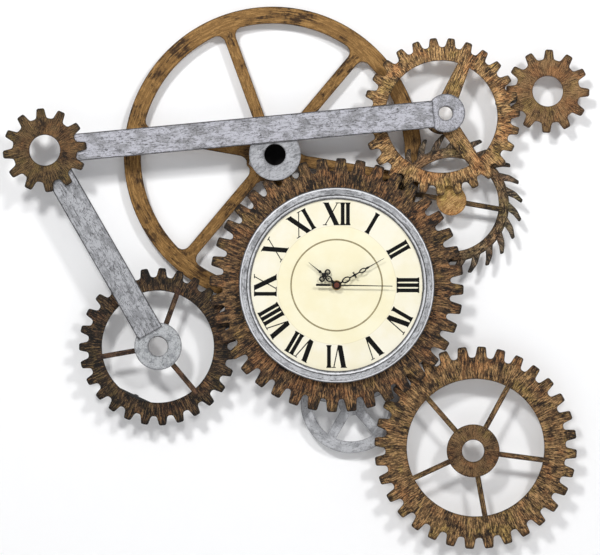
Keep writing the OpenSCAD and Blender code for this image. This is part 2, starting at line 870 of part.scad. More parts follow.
pillars = [for (x = [-1, 1]) for (z = [case_top - case_wall - 2, bay_z + 3]) [x * (inner_half - 2), z]];
pillar_r = 1.5;

// The wall between the works and the battery bay
module bay_wall() {
    translate([-inner_half - 0.1, bay_z]) square([2 * inner_half + 0.2, 0.8]);
}

module movement_front_case() {
    color(black) {
        inside(0, case_wall) difference() {
            case_square(0);
            circle(bush_r);
            circle_at(third_at, pivot_r + running_gap);
            circle_at(rotor_at, pivot_r + running_gap);
            circle_at(knob_at, pivot_r + running_gap);
        }
        inside(case_wall, case_split - case_wall) {
            difference() {
                case_square(0);
                case_square(case_wall);
            }
            bay_wall();
            for (p = pillars) circle_at(p, pillar_r);
        }
        inside(case_wall, motion_layer + layer_t + 0.2 - case_wall) circle_at(minute_wheel_at, pivot_r);
        inside(case_wall, stator_from - case_wall)
            for (z = [coil_low - 3, coil_high + 3]) circle_at([coil_x, z], 1);
    }
}

knob_shaft_r = 1.2;

module movement_back_case() {
    color(black) {
        inside(case_split, case_t - case_wall - case_split) {
            difference() {
                case_square(0);
                case_square(case_wall);
            }
            bay_wall();
        }
        inside(bearing_depth + bearing_t, case_t - case_wall - bearing_depth - bearing_t)
            for (p = pillars) circle_at(p, pillar_r);
        inside(case_t - case_wall, case_wall) difference() {
            case_square(0);
            circle_at(knob_at, knob_shaft_r + 0.2);
            translate([-inner_half, case_bottom + case_wall])
                square([2 * inner_half, bay_z - case_bottom - case_wall]);
        }
    }
}

module bearing_plate() {
    color("white") {
        inside(bearing_depth, bearing_t) difference() {
            translate([-inner_half + 0.2, bay_z + 1])
                square([2 * inner_half - 0.4, case_top - case_wall - bay_z - 1.2]);
            circle(pivot_r + running_gap);
            circle_at(third_at, pivot_r + running_gap);
            circle_at(rotor_at, pivot_r + running_gap);
            circle_at(knob_at, knob_shaft_r + 0.2);
        }
        inside(case_split, bearing_depth - case_split) for (p = pillars) circle_at(p, pillar_r);
        inside(second_layer - 0.2, bearing_depth - second_layer + 0.2) circle_at(fifth_at, pivot_r);
    }
}

module threaded_bush() {
    flange_t = 0.4;
    color(brass) {
        inside(case_wall, flange_t) ring(bush_r + 1.5, bush_bore_r);
        tube(dial_gear_at, case_front - case_wall, bush_front, bush_r, bush_bore_r);
    }
}

module dial_gasket() {
    color([0.25, 0.25, 0.25]) tube(dial_gear_at, case_front, dial_depth, 11, bush_r + running_gap);
}

module bush_washer() {
    color(brass) tube(dial_gear_at, dial_front, dial_front + washer_t, 7.5, bush_r + running_gap);
}

module hex_nut() {
    color(brass) at(dial_gear_at) sheet(dial_front + washer_t, nut_t) difference() {
        circle(nut_r, $fn = 6);
        circle(bush_r);
    }
}

module circuit_board() {
    color("darkgreen") inside(board_depth, board_t) translate([-inner_half + 4.5, bay_z + 6])
        square([20, case_top - bay_z - 12]);
}

module quartz_crystal() {
    color(silver) at(dial_gear_at + [-12, 2]) translate([0, -(case_front - board_depth - board_t - 0.8), 0])
        cylinder(h = 6, r = 0.8, $fn = 32);
}

module coil() {
    middle = case_front - stator_from - stator_t / 2;
    color("chocolate") at(dial_gear_at + [coil_x, 0]) translate([0, -middle, 0]) difference() {
        union() {
            translate([0, 0, coil_low]) cylinder(h = coil_high - coil_low, r = coil_r);
            for (z = [coil_low - 0.8, coil_high]) translate([0, 0, z]) cylinder(h = 0.8, r = coil_r + 0.2);
        }
        translate([-stator_w / 2, -stator_t / 2, coil_low - 2])
            cube([stator_w, stator_t, coil_high - coil_low + 4]);
    }
}

// A flat core through the coil, with two limbs that meet in a ring round the rotor's magnet
module stator() {
    low = coil_low - 4;
    high = coil_high + 4;
    limb_x = rotor_at[0] - 1;
    limb_l = limb_x - coil_x + stator_w;
    color(silver) inside(stator_from, stator_t) difference() {
        union() {
            translate([coil_x - stator_w / 2, low]) square([stator_w, high - low]);
            translate([coil_x - stator_w / 2, high - stator_w]) square([limb_l, stator_w]);
            translate([limb_x - stator_w / 2, rotor_at[1]]) square([stator_w, high - rotor_at[1]]);
            translate([coil_x - stator_w / 2, low]) square([limb_l, stator_w]);
            translate([limb_x - stator_w / 2, low]) square([stator_w, rotor_at[1] - low]);
            circle_at(rotor_at, magnet_r + 2.2);
        }
        circle_at(rotor_at, magnet_r + 0.4);
    }
}

// A small wheel's toothed layer, about its own arbor
module toothed(place, from, teeth, module_size, turn) {
    inside(from, layer_t) translate(place) polygon(wheel_outline(teeth, module_size, turn));
}

module arbor(place, from, to, r) {
    inside(from, to - from) circle_at(place, r);
}

rotor_module = module_for(rotor_distance, rotor_teeth, fifth_teeth);
fifth_turn = mesh_turn(rotor_angle + 180, 0, rotor_teeth, fifth_teeth);
second_module = module_for(fifth_distance, fifth_pinion, second_teeth);
second_turn = mesh_turn(fifth_angle + 180, 0, fifth_pinion, second_teeth);
third_module = module_for(third_distance, second_pinion, third_teeth);
third_turn = mesh_turn(third_angle, 0, second_pinion, third_teeth);
centre_module = module_for(third_distance, third_pinion, centre_teeth);
centre_turn = mesh_turn(third_angle + 180, 0, third_pinion, centre_teeth);
cannon_module = module_for(minute_wheel_distance, cannon_teeth, minute_teeth);
minute_turn = mesh_turn(minute_wheel_angle, 0, cannon_teeth, minute_teeth);
hour_module = module_for(minute_wheel_distance, minute_pinion, hour_teeth);
hour_turn = mesh_turn(minute_wheel_angle + 180, 0, minute_pinion, hour_teeth);
knob_turn = mesh_turn(knob_angle, minute_turn, minute_teeth, knob_teeth);

module rotor() {
    color("dimgray") {
        arbor(rotor_at, 0.3, bearing_depth + 0.9, pivot_r);
        arbor(rotor_at, 5.9, 8, magnet_r);
        toothed(rotor_at, fifth_layer, rotor_teeth, rotor_module, 0);
    }
}

module fifth_wheel() {
    color("white") difference() {
        union() {
            toothed(fifth_at, fifth_layer, fifth_teeth, rotor_module, fifth_turn);
            toothed(fifth_at, second_layer, fifth_pinion, second_module, 0);
            arbor(fifth_at, second_layer, fifth_layer + layer_t + 0.4, 1.2);
        }
        arbor(fifth_at, second_layer - 1, bearing_depth, pivot_r + running_gap);
    }
}

module second_wheel() {
    color("white") {
        toothed([0, 0], second_layer, second_teeth, second_module, second_turn);
        toothed([0, 0], third_layer, second_pinion, third_module, 0);
        arbor([0, 0], third_layer, second_layer + layer_t, 1.1);
        arbor([0, 0], second_layer, bearing_depth + 0.9, pivot_r);
        rod(dial_gear_at, case_front - second_layer, second_depth + second_hand_t, arbor_r);
    }
}

module third_wheel() {
    color("white") {
        toothed(third_at, third_layer, third_teeth, third_module, third_turn);
        toothed(third_at, centre_layer, third_pinion, centre_module, 0);
        arbor(third_at, centre_layer, third_layer + layer_t, 1);
        arbor(third_at, 0.3, bearing_depth + 0.9, pivot_r);
    }
}

module centre_wheel() {
    color("white") difference() {
        toothed([0, 0], centre_layer, centre_teeth, centre_module, centre_turn);
        arbor([0, 0], centre_layer - 1, centre_layer + 2, minute_tube_r + running_gap);
    }
}

module cannon_pinion() {
    color(brass) difference() {
        union() {
            toothed([0, 0], motion_layer, cannon_teeth, cannon_module, 0);
            rod(dial_gear_at, case_front - centre_layer - layer_t, minute_depth + hand_t, minute_tube_r);
        }
        rod(dial_gear_at, case_front - centre_layer - 3, minute_depth + hand_t + 1, minute_bore_r);
    }
}

module minute_wheel() {
    color("white") difference() {
        union() {
            toothed(minute_wheel_at, motion_layer, minute_teeth, cannon_module, minute_turn);
            toothed(minute_wheel_at, hour_layer, minute_pinion, hour_module, 0);
            arbor(minute_wheel_at, hour_layer, motion_layer + layer_t, 1.2);
        }
        arbor(minute_wheel_at, hour_layer - 1, motion_layer + 2, pivot_r + running_gap);
    }
}

module hour_wheel() {
    color("white") difference() {
        union() {
            toothed([0, 0], hour_layer, hour_teeth, hour_module, hour_turn);
            rod(dial_gear_at, case_front - hour_layer - layer_t, hour_depth + hand_t, hour_tube_r);
        }
        rod(dial_gear_at, case_front - hour_layer - 3, hour_depth + hand_t + 1, hour_bore_r);
    }
}

module setting_knob() {
    knob_r = 5;
    color("white") {
        arbor(knob_at, 0.3, case_t + 0.5, pivot_r);
        arbor(knob_at, motion_layer, case_t + 0.5, knob_shaft_r);
        toothed(knob_at, motion_layer, knob_teeth, cannon_module, knob_turn);
        inside(case_t + 0.5, 2.5) translate(knob_at) difference() {
            circle(knob_r);
            for (a = [0 : 20 : 340]) rotate(a) translate([knob_r, 0]) circle(0.35, $fn = 16);
        }
    }
}

battery_depth = case_front - case_wall - battery_r;
battery_nub_r = 2.7;

module battery() {
    nub_l = 1.2;
    color("navy") at(dial_gear_at + [-battery_l / 2, battery_z]) translate([0, -battery_depth, 0])
        rotate([0, 90, 0]) {
            cylinder(h = battery_l - nub_l, r = battery_r);
            cylinder(h = battery_l, r = battery_nub_r);
        }
}

// A strip on each end wall of the bay, with a round boss that presses on the battery
module battery_contacts() {
    strip_t = 0.4;
    boss_l = inner_half - strip_t - battery_l / 2;
    color(silver) for (side = [-1, 1]) {
        inside(3, case_t - 6) translate([side * (inner_half - strip_t / 2) - strip_t / 2, battery_z - 5])
            square([strip_t, 10]);
        at(dial_gear_at + [side * battery_l / 2, battery_z]) translate([0, -battery_depth, 0])
            rotate([0, side * 90, 0]) cylinder(h = boss_l, r = battery_nub_r);
    }
}

// ---- Hands ----

module hand(depth, thickness, angle) {
    at(dial_gear_at) sheet(depth, thickness) rotate(angle) children();
}

// A pierced oval: a stretched ring drawn as one outline inside another
module oval_loop(middle, half_l, half_w, line) {
    translate([middle, 0]) difference() {
        polygon([for (a = [0 : 15 : 345]) [half_l * cos(a), half_w * sin(a)]]);
        polygon([for (a = [0 : 15 : 345]) [(half_l - line) * cos(a), (half_w - line) * sin(a)]]);
    }
}

module hour_hand() {
    curl_r = 4.3;
    color(black) hand(hour_depth, hand_t, hour_angle) {
        ring(6, hour_tube_r);
        translate([5.5, -1.1]) square([6, 2.2]);
        oval_loop(15.4, 5.6, 3.8, 1.5);
        for (side = [-1, 1]) translate([23, side * 6.6]) ring(curl_r, curl_r - 1.7);
        polygon([[19.5, 0], [21.5, -2.6], [25.5, -2.6], [29, -1.4], [33, -3.2], [36.5, -0.9],
            [hour_hand_l, -0.4], [hour_hand_l, 0.4], [36.5, 0.9], [33, 3.2], [29, 1.4], [25.5, 2.6],
            [21.5, 2.6]]);
    }
}

module minute_hand() {
    color(black) hand(minute_depth, hand_t, minute_angle) {
        ring(5, minute_tube_r);
        translate([4.5, -1.1]) square([6.5, 2.2]);
        oval_loop(16.5, 6.8, 4, 1.5);
        translate([22, -1]) square([19, 2]);
        translate([31.5, 0]) circle(2.2);
        translate([30.7, -4]) square([1.7, 8]);
        oval_loop(45.5, 5.8, 2.9, 1.3);
        polygon([[50.5, 0], [52.5, -1.8], [57, -0.9], [minute_hand_l, -0.35], [minute_hand_l, 0.35],
            [57, 0.9], [52.5, 1.8]]);
    }
}

module second_hand() {
    color(black) hand(second_depth, second_hand_t, second_angle) difference() {
        union() {
            circle(6.3);
            polygon([[0, -0.7], [second_hand_l, -0.35], [second_hand_l, 0.35], [0, 0.7]]);
            translate([-second_tail_l, -1.15]) square([second_tail_l, 2.3]);
        }
        circle(arbor_r);
    }
}

module hand_cap() {
    color("saddlebrown") at(dial_gear_at) rotate([90, 0, 0]) translate([0, 0, second_depth + second_hand_t])
        cylinder(h = cap_t, r1 = 4.2, r2 = 3.2);
}

flywheel();
left_pinion();
right_pinion();
upper_gear();
lower_left_gear_rim();
lower_left_gear_spokes();
lower_right_gear_rim();
lower_right_gear_spokes();
lower_right_gear_hub();
escape_wheel_teeth();
escape_wheel_ring();
escape_wheel_spoke();
escape_wheel_cap();
dial_gear();
slotted_wheel();
long_link_bar();
long_link_middle_eye();
long_link_end_eye();
short_link_bar();
short_link_end_eye();
eye_tubes();
spacer_posts();
left_gear_bracket();
right_gear_bracket();
right_pinion_bracket();
left_foot_strap();
wall_feet();
foot_pads();
hanger_plates();
hanger_spacers();
dial_backing();
dial_plate();
bezel();
bezel_screws();
movement_front_case();
movement_back_case();
bearing_plate();
threaded_bush();
dial_gasket();
bush_washer();
hex_nut();
circuit_board();
quartz_crystal();
coil();
stator();
rotor();
fifth_wheel();
second_wheel();
third_wheel();
centre_wheel();
cannon_pinion();
minute_wheel();
hour_wheel();
setting_knob();
battery();
battery_contacts();
hour_hand();
minute_hand();
second_hand();
hand_cap();
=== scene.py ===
"""The looks of the gear wall clock: paint, dial print, hands, movement details, wall, light and camera.

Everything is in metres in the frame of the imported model: X right, Z up, Y into the wall, wall at y = 0.
"""

import math

import bmesh
import bpy
from mathutils import Matrix, Vector


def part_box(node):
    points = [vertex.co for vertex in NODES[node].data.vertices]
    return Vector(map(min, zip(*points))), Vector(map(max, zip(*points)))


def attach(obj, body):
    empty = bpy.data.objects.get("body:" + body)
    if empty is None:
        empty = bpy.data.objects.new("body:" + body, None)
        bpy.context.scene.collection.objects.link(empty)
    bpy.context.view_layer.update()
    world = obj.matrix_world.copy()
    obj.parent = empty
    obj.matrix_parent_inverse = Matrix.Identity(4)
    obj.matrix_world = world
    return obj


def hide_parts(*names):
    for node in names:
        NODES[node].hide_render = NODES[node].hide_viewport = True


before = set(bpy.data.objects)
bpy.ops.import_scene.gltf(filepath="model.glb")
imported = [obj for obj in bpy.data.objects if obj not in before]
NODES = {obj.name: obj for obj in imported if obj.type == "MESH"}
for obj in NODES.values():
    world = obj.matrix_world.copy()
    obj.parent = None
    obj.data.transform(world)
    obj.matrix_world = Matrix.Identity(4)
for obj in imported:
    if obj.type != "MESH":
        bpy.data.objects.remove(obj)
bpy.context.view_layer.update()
MM = 0.001

# How far each kind of surface's sharp edges look rounded
PLATE_ROUNDING = 0.4 * MM
PLASTIC_ROUNDING = 0.15 * MM
METAL_ROUNDING = 0.1 * MM


# ---- Places, all read from the frame ----


def centre(node):
    """The middle of a CAD node's box."""
    low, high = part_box(node)
    return (low + high) / 2


def front(node):
    """How far to the front a CAD node reaches, as a y value."""
    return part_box(node)[0].y


def radius(node):
    """Half the width of a round CAD node."""
    low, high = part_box(node)
    return (high.x - low.x) / 2


DIAL = centre("dial_plate")
DIAL_FRONT = front("dial_plate")


def srgb(red, green, blue):
    """A colour given as 0 to 255 display values, as the linear values that shaders take."""
    channels = []
    for value in (red, green, blue):
        value /= 255
        channels.append(value / 12.92 if value <= 0.04045 else ((value + 0.055) / 1.055) ** 2.4)
    return (*channels, 1.0)


# ---- Materials ----


class Paint:
    """A material's node graph, built from small named steps."""

    def __init__(self, name, roughness=0.5, metallic=0.0, coat=0.0, rounded=PLATE_ROUNDING, gloss=0.5):
        self.material = bpy.data.materials.new(name)
        self.material.use_nodes = True
        self.tree = self.material.node_tree
        self.shader = self.tree.nodes["Principled BSDF"]
        self.shader.inputs["Roughness"].default_value = roughness
        self.shader.inputs["Metallic"].default_value = metallic
        self.shader.inputs["Coat Weight"].default_value = coat
        self.shader.inputs["Specular IOR Level"].default_value = gloss
        place = self.tree.nodes.new("ShaderNodeTexCoord")
        self.place = place.outputs["Object"]
        split = self.tree.nodes.new("ShaderNodeSeparateXYZ")
        self.put(split.inputs[0], self.place)
        self.x, self.y, self.z = split.outputs
        edge = self.tree.nodes.new("ShaderNodeBevel")
        edge.samples = 4
        edge.inputs["Radius"].default_value = rounded
        self.normal = edge.outputs[0]
        self.put(self.shader.inputs["Normal"], self.normal)

    def put(self, socket, value):
        """Feeds a socket with a number, a colour or another node's output."""
        if isinstance(value, bpy.types.NodeSocket):
            self.tree.links.new(value, socket)
        else:
            socket.default_value = value

    def math(self, operation, *values):
        """One step of arithmetic, on numbers or on other nodes' outputs."""
        node = self.tree.nodes.new("ShaderNodeMath")
        node.operation = operation
        for socket, value in zip(node.inputs, values):
            self.put(socket, value)
        return node.outputs[0]

    def add(self, a, b):
        return self.math("ADD", a, b)

    def minus(self, a, b):
        return self.math("SUBTRACT", a, b)

    def times(self, a, b):
        return self.math("MULTIPLY", a, b)

    def distance(self, a, b):
        """How far a is from b, without a sign."""
        return self.math("ABSOLUTE", self.minus(a, b))

    def inverse(self, share):
        return self.minus(1.0, share)

    def blend(self, a, b, share):
        """a times a share, plus b times the rest."""
        return self.add(self.times(a, share), self.times(b, 1 - share))

    def vector(self, x, y, z):
        node = self.tree.nodes.new("ShaderNodeCombineXYZ")
        for socket, value in zip(node.inputs, (x, y, z)):
            self.put(socket, value)
        return node.outputs[0]

    def stretched(self, x, y, z):
        """The place on the object, with its axes scaled."""
        return self.vector(self.times(self.x, x), self.times(self.y, y), self.times(self.z, z))

    def noise(self, vector, scale=1.0, detail=3.0, rough=0.55, twist=0.0):
        node = self.tree.nodes.new("ShaderNodeTexNoise")
        self.put(node.inputs["Vector"], vector)
        node.inputs["Scale"].default_value = scale
        node.inputs["Detail"].default_value = detail
        node.inputs["Roughness"].default_value = rough
        node.inputs["Distortion"].default_value = twist
        return node.outputs["Fac"]

    def step(self, value, low, high):
        """0 below low and 1 above high, smooth between them."""
        node = self.tree.nodes.new("ShaderNodeMapRange")
        node.interpolation_type = "SMOOTHSTEP"
        self.put(node.inputs["Value"], value)
        node.inputs["From Min"].default_value = low
        node.inputs["From Max"].default_value = high
        return node.outputs[0]

    def mix(self, factor, under, over):
        """Puts one colour over another, where the factor is 1."""
        node = self.tree.nodes.new("ShaderNodeMix")
        node.data_type = "RGBA"
        self.put(node.inputs["Factor"], factor)
        colours = [socket for socket in node.inputs if socket.type == "RGBA"]
        self.put(colours[0], under)
        self.put(colours[1], over)
        return [socket for socket in node.outputs if socket.type == "RGBA"][0]

    def cover(self, under, over, mask, share=1.0):
        """Puts a share of a colour over another where the mask is 1."""
        return self.mix(self.times(mask, share), under, over)

    def polar(self, middle):
        """The distance from a middle in the wall's plane, and the unit direction from it."""
        across = self.minus(self.x, middle.x)
        up = self.minus(self.z, middle.z)
        reach = self.math("SQRT", self.add(self.times(across, across), self.times(up, up)))
        return reach, self.math("DIVIDE", across, reach), self.math("DIVIDE", up, reach)

    def edges(self, width):
        """1 along sharp edges, fading to 0 at about this distance from them."""
        bevel = self.tree.nodes.new("ShaderNodeBevel")
        bevel.samples = 6
        bevel.inputs["Radius"].default_value = 2 * width
        surface = self.tree.nodes.new("ShaderNodeNewGeometry")
        lean = self.tree.nodes.new("ShaderNodeVectorMath")
        lean.operation = "DOT_PRODUCT"
        self.put(lean.inputs[0], bevel.outputs[0])
        self.put(lean.inputs[1], surface.outputs["Normal"])
        return self.inverse(self.step(lean.outputs["Value"], 0.93, 0.999))

    def bump(self, height, depth):
        node = self.tree.nodes.new("ShaderNodeBump")
        node.inputs["Distance"].default_value = depth
        self.put(node.inputs["Height"], height)
        self.put(node.inputs["Normal"], self.normal)
        self.put(self.shader.inputs["Normal"], node.outputs[0])

    def colour(self, value):
        self.put(self.shader.inputs["Base Color"], value)

    def rough(self, value):
        self.put(self.shader.inputs["Roughness"], value)


def streaks(paint, middle, line, width, length):
    """A place for noise drawn out into strokes of a width and a length: radial, round or along a line."""
    if line in ("radial", "round"):
        reach, across, up = paint.polar(middle)
        usual_reach = 0.12
        around = usual_reach / (width if line == "radial" else length)
        outward = 1 / (length if line == "radial" else width)
        return paint.vector(
            paint.times(across, around), paint.times(up, around), paint.times(reach, outward)
        )
    along = paint.add(paint.times(paint.x, line.x), paint.times(paint.z, line.z))
    aside = paint.add(paint.times(paint.x, -line.z), paint.times(paint.z, line.x))
    return paint.vector(paint.times(along, 1 / length), paint.times(aside, 1 / width), 0.0)


def brush(paint, middle, line, width, length, **grain):
    """Noise in strokes of a width and a length."""
    return paint.noise(streaks(paint, middle, line, width, length), **grain)


def tinted(shade, red, green, blue):
    """A shade with its channels scaled."""
    return srgb(*(min(255, value * part) for value, part in zip(shade, (red, green, blue))))


# How far painted shade reaches in from the plates' sharp edges
EDGE_SHADE_W = 1.7 * MM
TIP_WEAR_W = 9 * MM


def dry_brushed(name, middle, shades, line="radial", worn=0.0, tip=None, stroke=1.0):
    """Dark, middle and light bronze dragged over one another in short strokes, with painted shade darkening the
    edges.
    """
    dark, body, light = (srgb(*shade) for shade in shades)
    paint = Paint(name, roughness=0.55, metallic=0.15, gloss=0.25)
    broad = brush(paint, middle, line, 3.2 * MM * stroke, 20 * MM, detail=5, rough=0.75, twist=0.8)
    thin = brush(paint, middle, line, 1.7 * MM * stroke, 13 * MM, detail=4, rough=0.7, twist=0.8)
    scratch = brush(paint, middle, line, 1.9 * MM * stroke, 12 * MM, detail=4, rough=0.7, twist=1.0)
    clump = paint.noise(paint.place, scale=64, detail=5, rough=0.7)
    patch = paint.noise(paint.place, scale=27, detail=4, rough=0.65)
    speck = paint.noise(paint.place, scale=420, detail=2, rough=0.6)
    loaded = paint.add(paint.blend(broad, clump, 0.45), -worn)
    brushed = paint.blend(thin, loaded, 0.6)

    rusty = paint.step(patch, 0.50, 0.62)
    mossy = paint.step(patch, 0.48, 0.36)
    body = paint.cover(body, tinted(shades[1], 0.94, 1.02, 0.78), mossy, 0.55)
    body = paint.cover(body, tinted(shades[1], 1.12, 0.86, 0.72), rusty, 0.36)
    light = paint.cover(light, tinted(shades[2], 0.95, 1.02, 0.82), mossy, 0.55)
    light = paint.cover(light, tinted(shades[2], 1.08, 0.88, 0.76), rusty, 0.36)

    colour = paint.cover(dark, body, paint.step(loaded, 0.42, 0.51))
    colour = paint.cover(colour, light, paint.step(brushed, 0.495, 0.555))
    colour = paint.cover(colour, dark, paint.step(scratch, 0.505, 0.575), 0.92)
    colour = paint.cover(colour, dark, paint.step(speck, 0.56, 0.66), 0.5)
    if tip is not None:
        ragged = paint.add(paint.polar(middle)[0], paint.times(paint.add(clump, -0.5), 22 * MM))
        inner = tip + 1 * MM - TIP_WEAR_W
        colour = paint.cover(colour, dark, paint.step(ragged, inner, inner + TIP_WEAR_W), 0.85)
    # Painted shade: dark along sharp edges, broken up by the broad strokes
    ragged_edge_shade = paint.times(paint.edges(EDGE_SHADE_W), paint.step(broad, 0.25, 0.45))
    colour = paint.cover(colour, dark, ragged_edge_shade, 0.85)
    paint.colour(colour)
    paint.rough(paint.add(paint.times(thin, -0.25), 0.7))
    ridges = paint.add(paint.blend(broad, thin, 0.5), paint.times(scratch, -0.5))
    paint.bump(ridges, 0.7 * MM)
    return paint.material


OLIVE_SHADES = ((58, 40, 23), (128, 95, 53), (168, 130, 77))
OLIVE_SPECK = (64, 46, 27)
# Painted shade along the flywheel's edges
OLIVE_EDGE_SHADE = (40, 29, 19)
# Painted shade: the black and its reach that darken the flywheel's hub, seen down the middle eye's tube
HUB_SHADE_BLACK = (17, 15, 14)
SHADED_HUB_R = 20 * MM


def flywheel_paint(name, middle, rim_reach):
    """Olive-gold paint, finely dappled round the rim and along the spokes, with painted shade along its edges, and
    painted black at the hub as the shade deep inside the middle eye's tube.
    """
    dark, body, light = (srgb(*shade) for shade in OLIVE_SHADES)
    paint = Paint(name, roughness=0.46, metallic=0.3, gloss=0.25)
    reach = paint.polar(middle)[0]
    on_rim = paint.step(reach, rim_reach - 4 * MM, rim_reach + 2 * MM)

    def stroke(width, length, detail):
        grain = {"detail": detail, "rough": 0.65, "twist": 0.6}
        around = brush(paint, middle, "round", width, length, **grain)
        outward = brush(paint, middle, "radial", width, length, **grain)
        return paint.add(paint.times(around, on_rim), paint.times(outward, paint.inverse(on_rim)))

    broad = stroke(3.2 * MM, 20 * MM, 4)
    thin = stroke(2.0 * MM, 11 * MM, 3)
    patch = paint.noise(paint.place, scale=34, detail=4, rough=0.65)
    speck = paint.noise(paint.place, scale=420, detail=2, rough=0.6)
    loaded = paint.blend(broad, patch, 0.4)
    brushed = paint.blend(thin, loaded, 0.6)
    colour = paint.cover(dark, body, paint.step(loaded, 0.40, 0.50))
    colour = paint.cover(colour, light, paint.step(brushed, 0.50, 0.57), 0.8)
    colour = paint.cover(colour, srgb(*OLIVE_SPECK), paint.step(speck, 0.57, 0.66), 0.5)
    # Painted shade: darker olive along sharp edges, broken up by the patches
    flywheel_edge_shade = paint.times(paint.edges(EDGE_SHADE_W), paint.step(patch, 0.25, 0.45))
    colour = paint.cover(colour, srgb(*OLIVE_EDGE_SHADE), flywheel_edge_shade, 0.8)
    # Painted shade at the hub, where the deep tube in front of it would be dark
    outside_shaded_hub = paint.step(reach, SHADED_HUB_R - 1 * MM, SHADED_HUB_R + 1 * MM)
    paint.colour(paint.mix(outside_shaded_hub, srgb(*HUB_SHADE_BLACK), colour))
    paint.rough(paint.add(paint.times(thin, -0.2), 0.64))
    paint.bump(paint.blend(broad, thin, 0.5), 0.5 * MM)
    return paint.material


# Black for scratches, and for painted shade along edges and in rings
LINE_BLACK = (36, 34, 34)
# Painted highlight: a bright line standing for light caught on the bezel's polished lips
PAINTED_HIGHLIGHT = (236, 237, 240)


def distressed(name, middle, line, shades, width=None, painted_shade_radii=(), painted_highlight_radii=(), wear=1.0):
    """Silver paint rubbed through in short scratches and pits, painted black along its edges as shade.

    A width darkens the long sides of a bar with painted shade. Shade radii are painted dark rings of shade and
    highlight radii are painted bright highlight rings, by their radii.
    """
    dark, body, light = (srgb(*shade) for shade in shades)
    black = srgb(*LINE_BLACK)
    paint = Paint(name, roughness=0.5, metallic=0.2)
    broad = brush(paint, middle, line, 6.0 * MM, 36 * MM, detail=4, rough=0.7, twist=0.9)
    thin = brush(paint, middle, line, 2.8 * MM, 12 * MM, detail=4, rough=0.75, twist=1.2)
    scratch = brush(paint, middle, line, 3.2 * MM, 13 * MM, detail=4, rough=0.6, twist=1.6)
    patch = paint.noise(paint.place, scale=46, detail=4, rough=0.68)
    pit = paint.noise(paint.place, scale=300, detail=3, rough=0.7)
    unevenness = paint.add(thin, -0.5)
    colour = paint.cover(body, light, paint.step(paint.blend(broad, patch, 0.45), 0.43, 0.54))
    colour = paint.cover(colour, dark, paint.step(thin, 0.52, 0.6), 0.75 * wear)
    colour = paint.cover(colour, black, paint.step(scratch, 0.61, 0.66), 0.85 * wear)
    colour = paint.cover(colour, dark, paint.step(pit, 0.56, 0.64), 0.6)
    # Painted shade: black along sharp edges, broken up by the broad strokes
    painted_edge_shade = paint.times(paint.edges(1.9 * MM), paint.step(broad, 0.25, 0.42))
    # A bar's long sides get painted shade too, with ragged borders
    if width is not None:
        across = paint.times(paint.minus(paint.x, middle.x), -line.z)
        up = paint.times(paint.minus(paint.z, middle.z), line.x)
        aside = paint.math("ABSOLUTE", paint.add(across, up))
        ragged = paint.add(aside, paint.times(unevenness, 5 * MM))
        side = paint.step(ragged, width / 2 - 2.2 * MM, width / 2 - 0.6 * MM)
        painted_edge_shade = paint.math("MAXIMUM", painted_edge_shade, side)
    # The painted edge shade is laid on in black, scaled with the wear
    colour = paint.cover(colour, black, painted_edge_shade, 0.9 * wear)
    reach = paint.polar(middle)[0]
    # Painted highlight rings and painted shade rings, drawn round the middle at the given radii
    for tone, radii in ((PAINTED_HIGHLIGHT, painted_highlight_radii), (LINE_BLACK, painted_shade_radii)):
        for ring in radii:
            near = paint.add(paint.distance(reach, ring), paint.times(unevenness, 1.6 * MM))
            line_here = paint.inverse(paint.step(near, 0.45 * MM, 0.95 * MM))
            colour = paint.cover(colour, srgb(*tone), line_here, 0.85)
    paint.colour(colour)
    paint.rough(paint.add(paint.times(thin, 0.3), 0.32))
    paint.bump(paint.add(paint.times(broad, 0.6), paint.times(scratch, -0.6)), 0.25 * MM)
    return paint.material


def plain(name, tone, second, roughness=0.5, grain=300.0, depth=0.05 * MM, **finish):
    """An even surface with a fine grain and a slight change of tone."""
    paint = Paint(name, roughness=roughness, rounded=PLASTIC_ROUNDING, **finish)
    fine = paint.noise(paint.place, scale=grain, detail=4, rough=0.6)
    wide = paint.noise(paint.place, scale=grain / 12, detail=3, rough=0.5)
    paint.colour(paint.mix(paint.step(paint.blend(wide, fine, 0.7), 0.35, 0.65), srgb(*tone), srgb(*second)))
    paint.rough(paint.add(paint.times(fine, 0.2), roughness - 0.1))
    paint.bump(fine, depth)
    return paint.material


def brushed_metal(name, tone, second, roughness=0.3):
    """Turned or rolled metal with fine lines."""
    paint = Paint(name, roughness=roughness, metallic=1.0, rounded=METAL_ROUNDING)
    lines = paint.noise(paint.stretched(200, 4000, 3000), detail=3)
    paint.colour(paint.mix(paint.step(lines, 0.35, 0.65), srgb(*tone), srgb(*second)))
    paint.rough(paint.add(paint.times(lines, 0.2), roughness - 0.1))
    paint.bump(lines, 0.02 * MM)
    return paint.material


def fibreboard(name, tone, second):
    """Pressed fibres, seen on the dial's backing and its cut edges."""
    paint = Paint(name, roughness=0.85)
    fibre = paint.noise(paint.stretched(500, 2500, 900), detail=5, rough=0.7)
    paint.colour(paint.mix(paint.step(fibre, 0.3, 0.7), srgb(*tone), srgb(*second)))
    paint.bump(fibre, 0.1 * MM)
    return paint.material


DISC_EDGE = 90.5 * MM
DISC_TONES = ((246, 240, 210), (243, 235, 199))
BAND_TONES = ((244, 239, 220), (241, 234, 206))
DISC_EDGE_TONE = (214, 202, 160)
DIAL_GRAIN_TONE = (232, 222, 180)


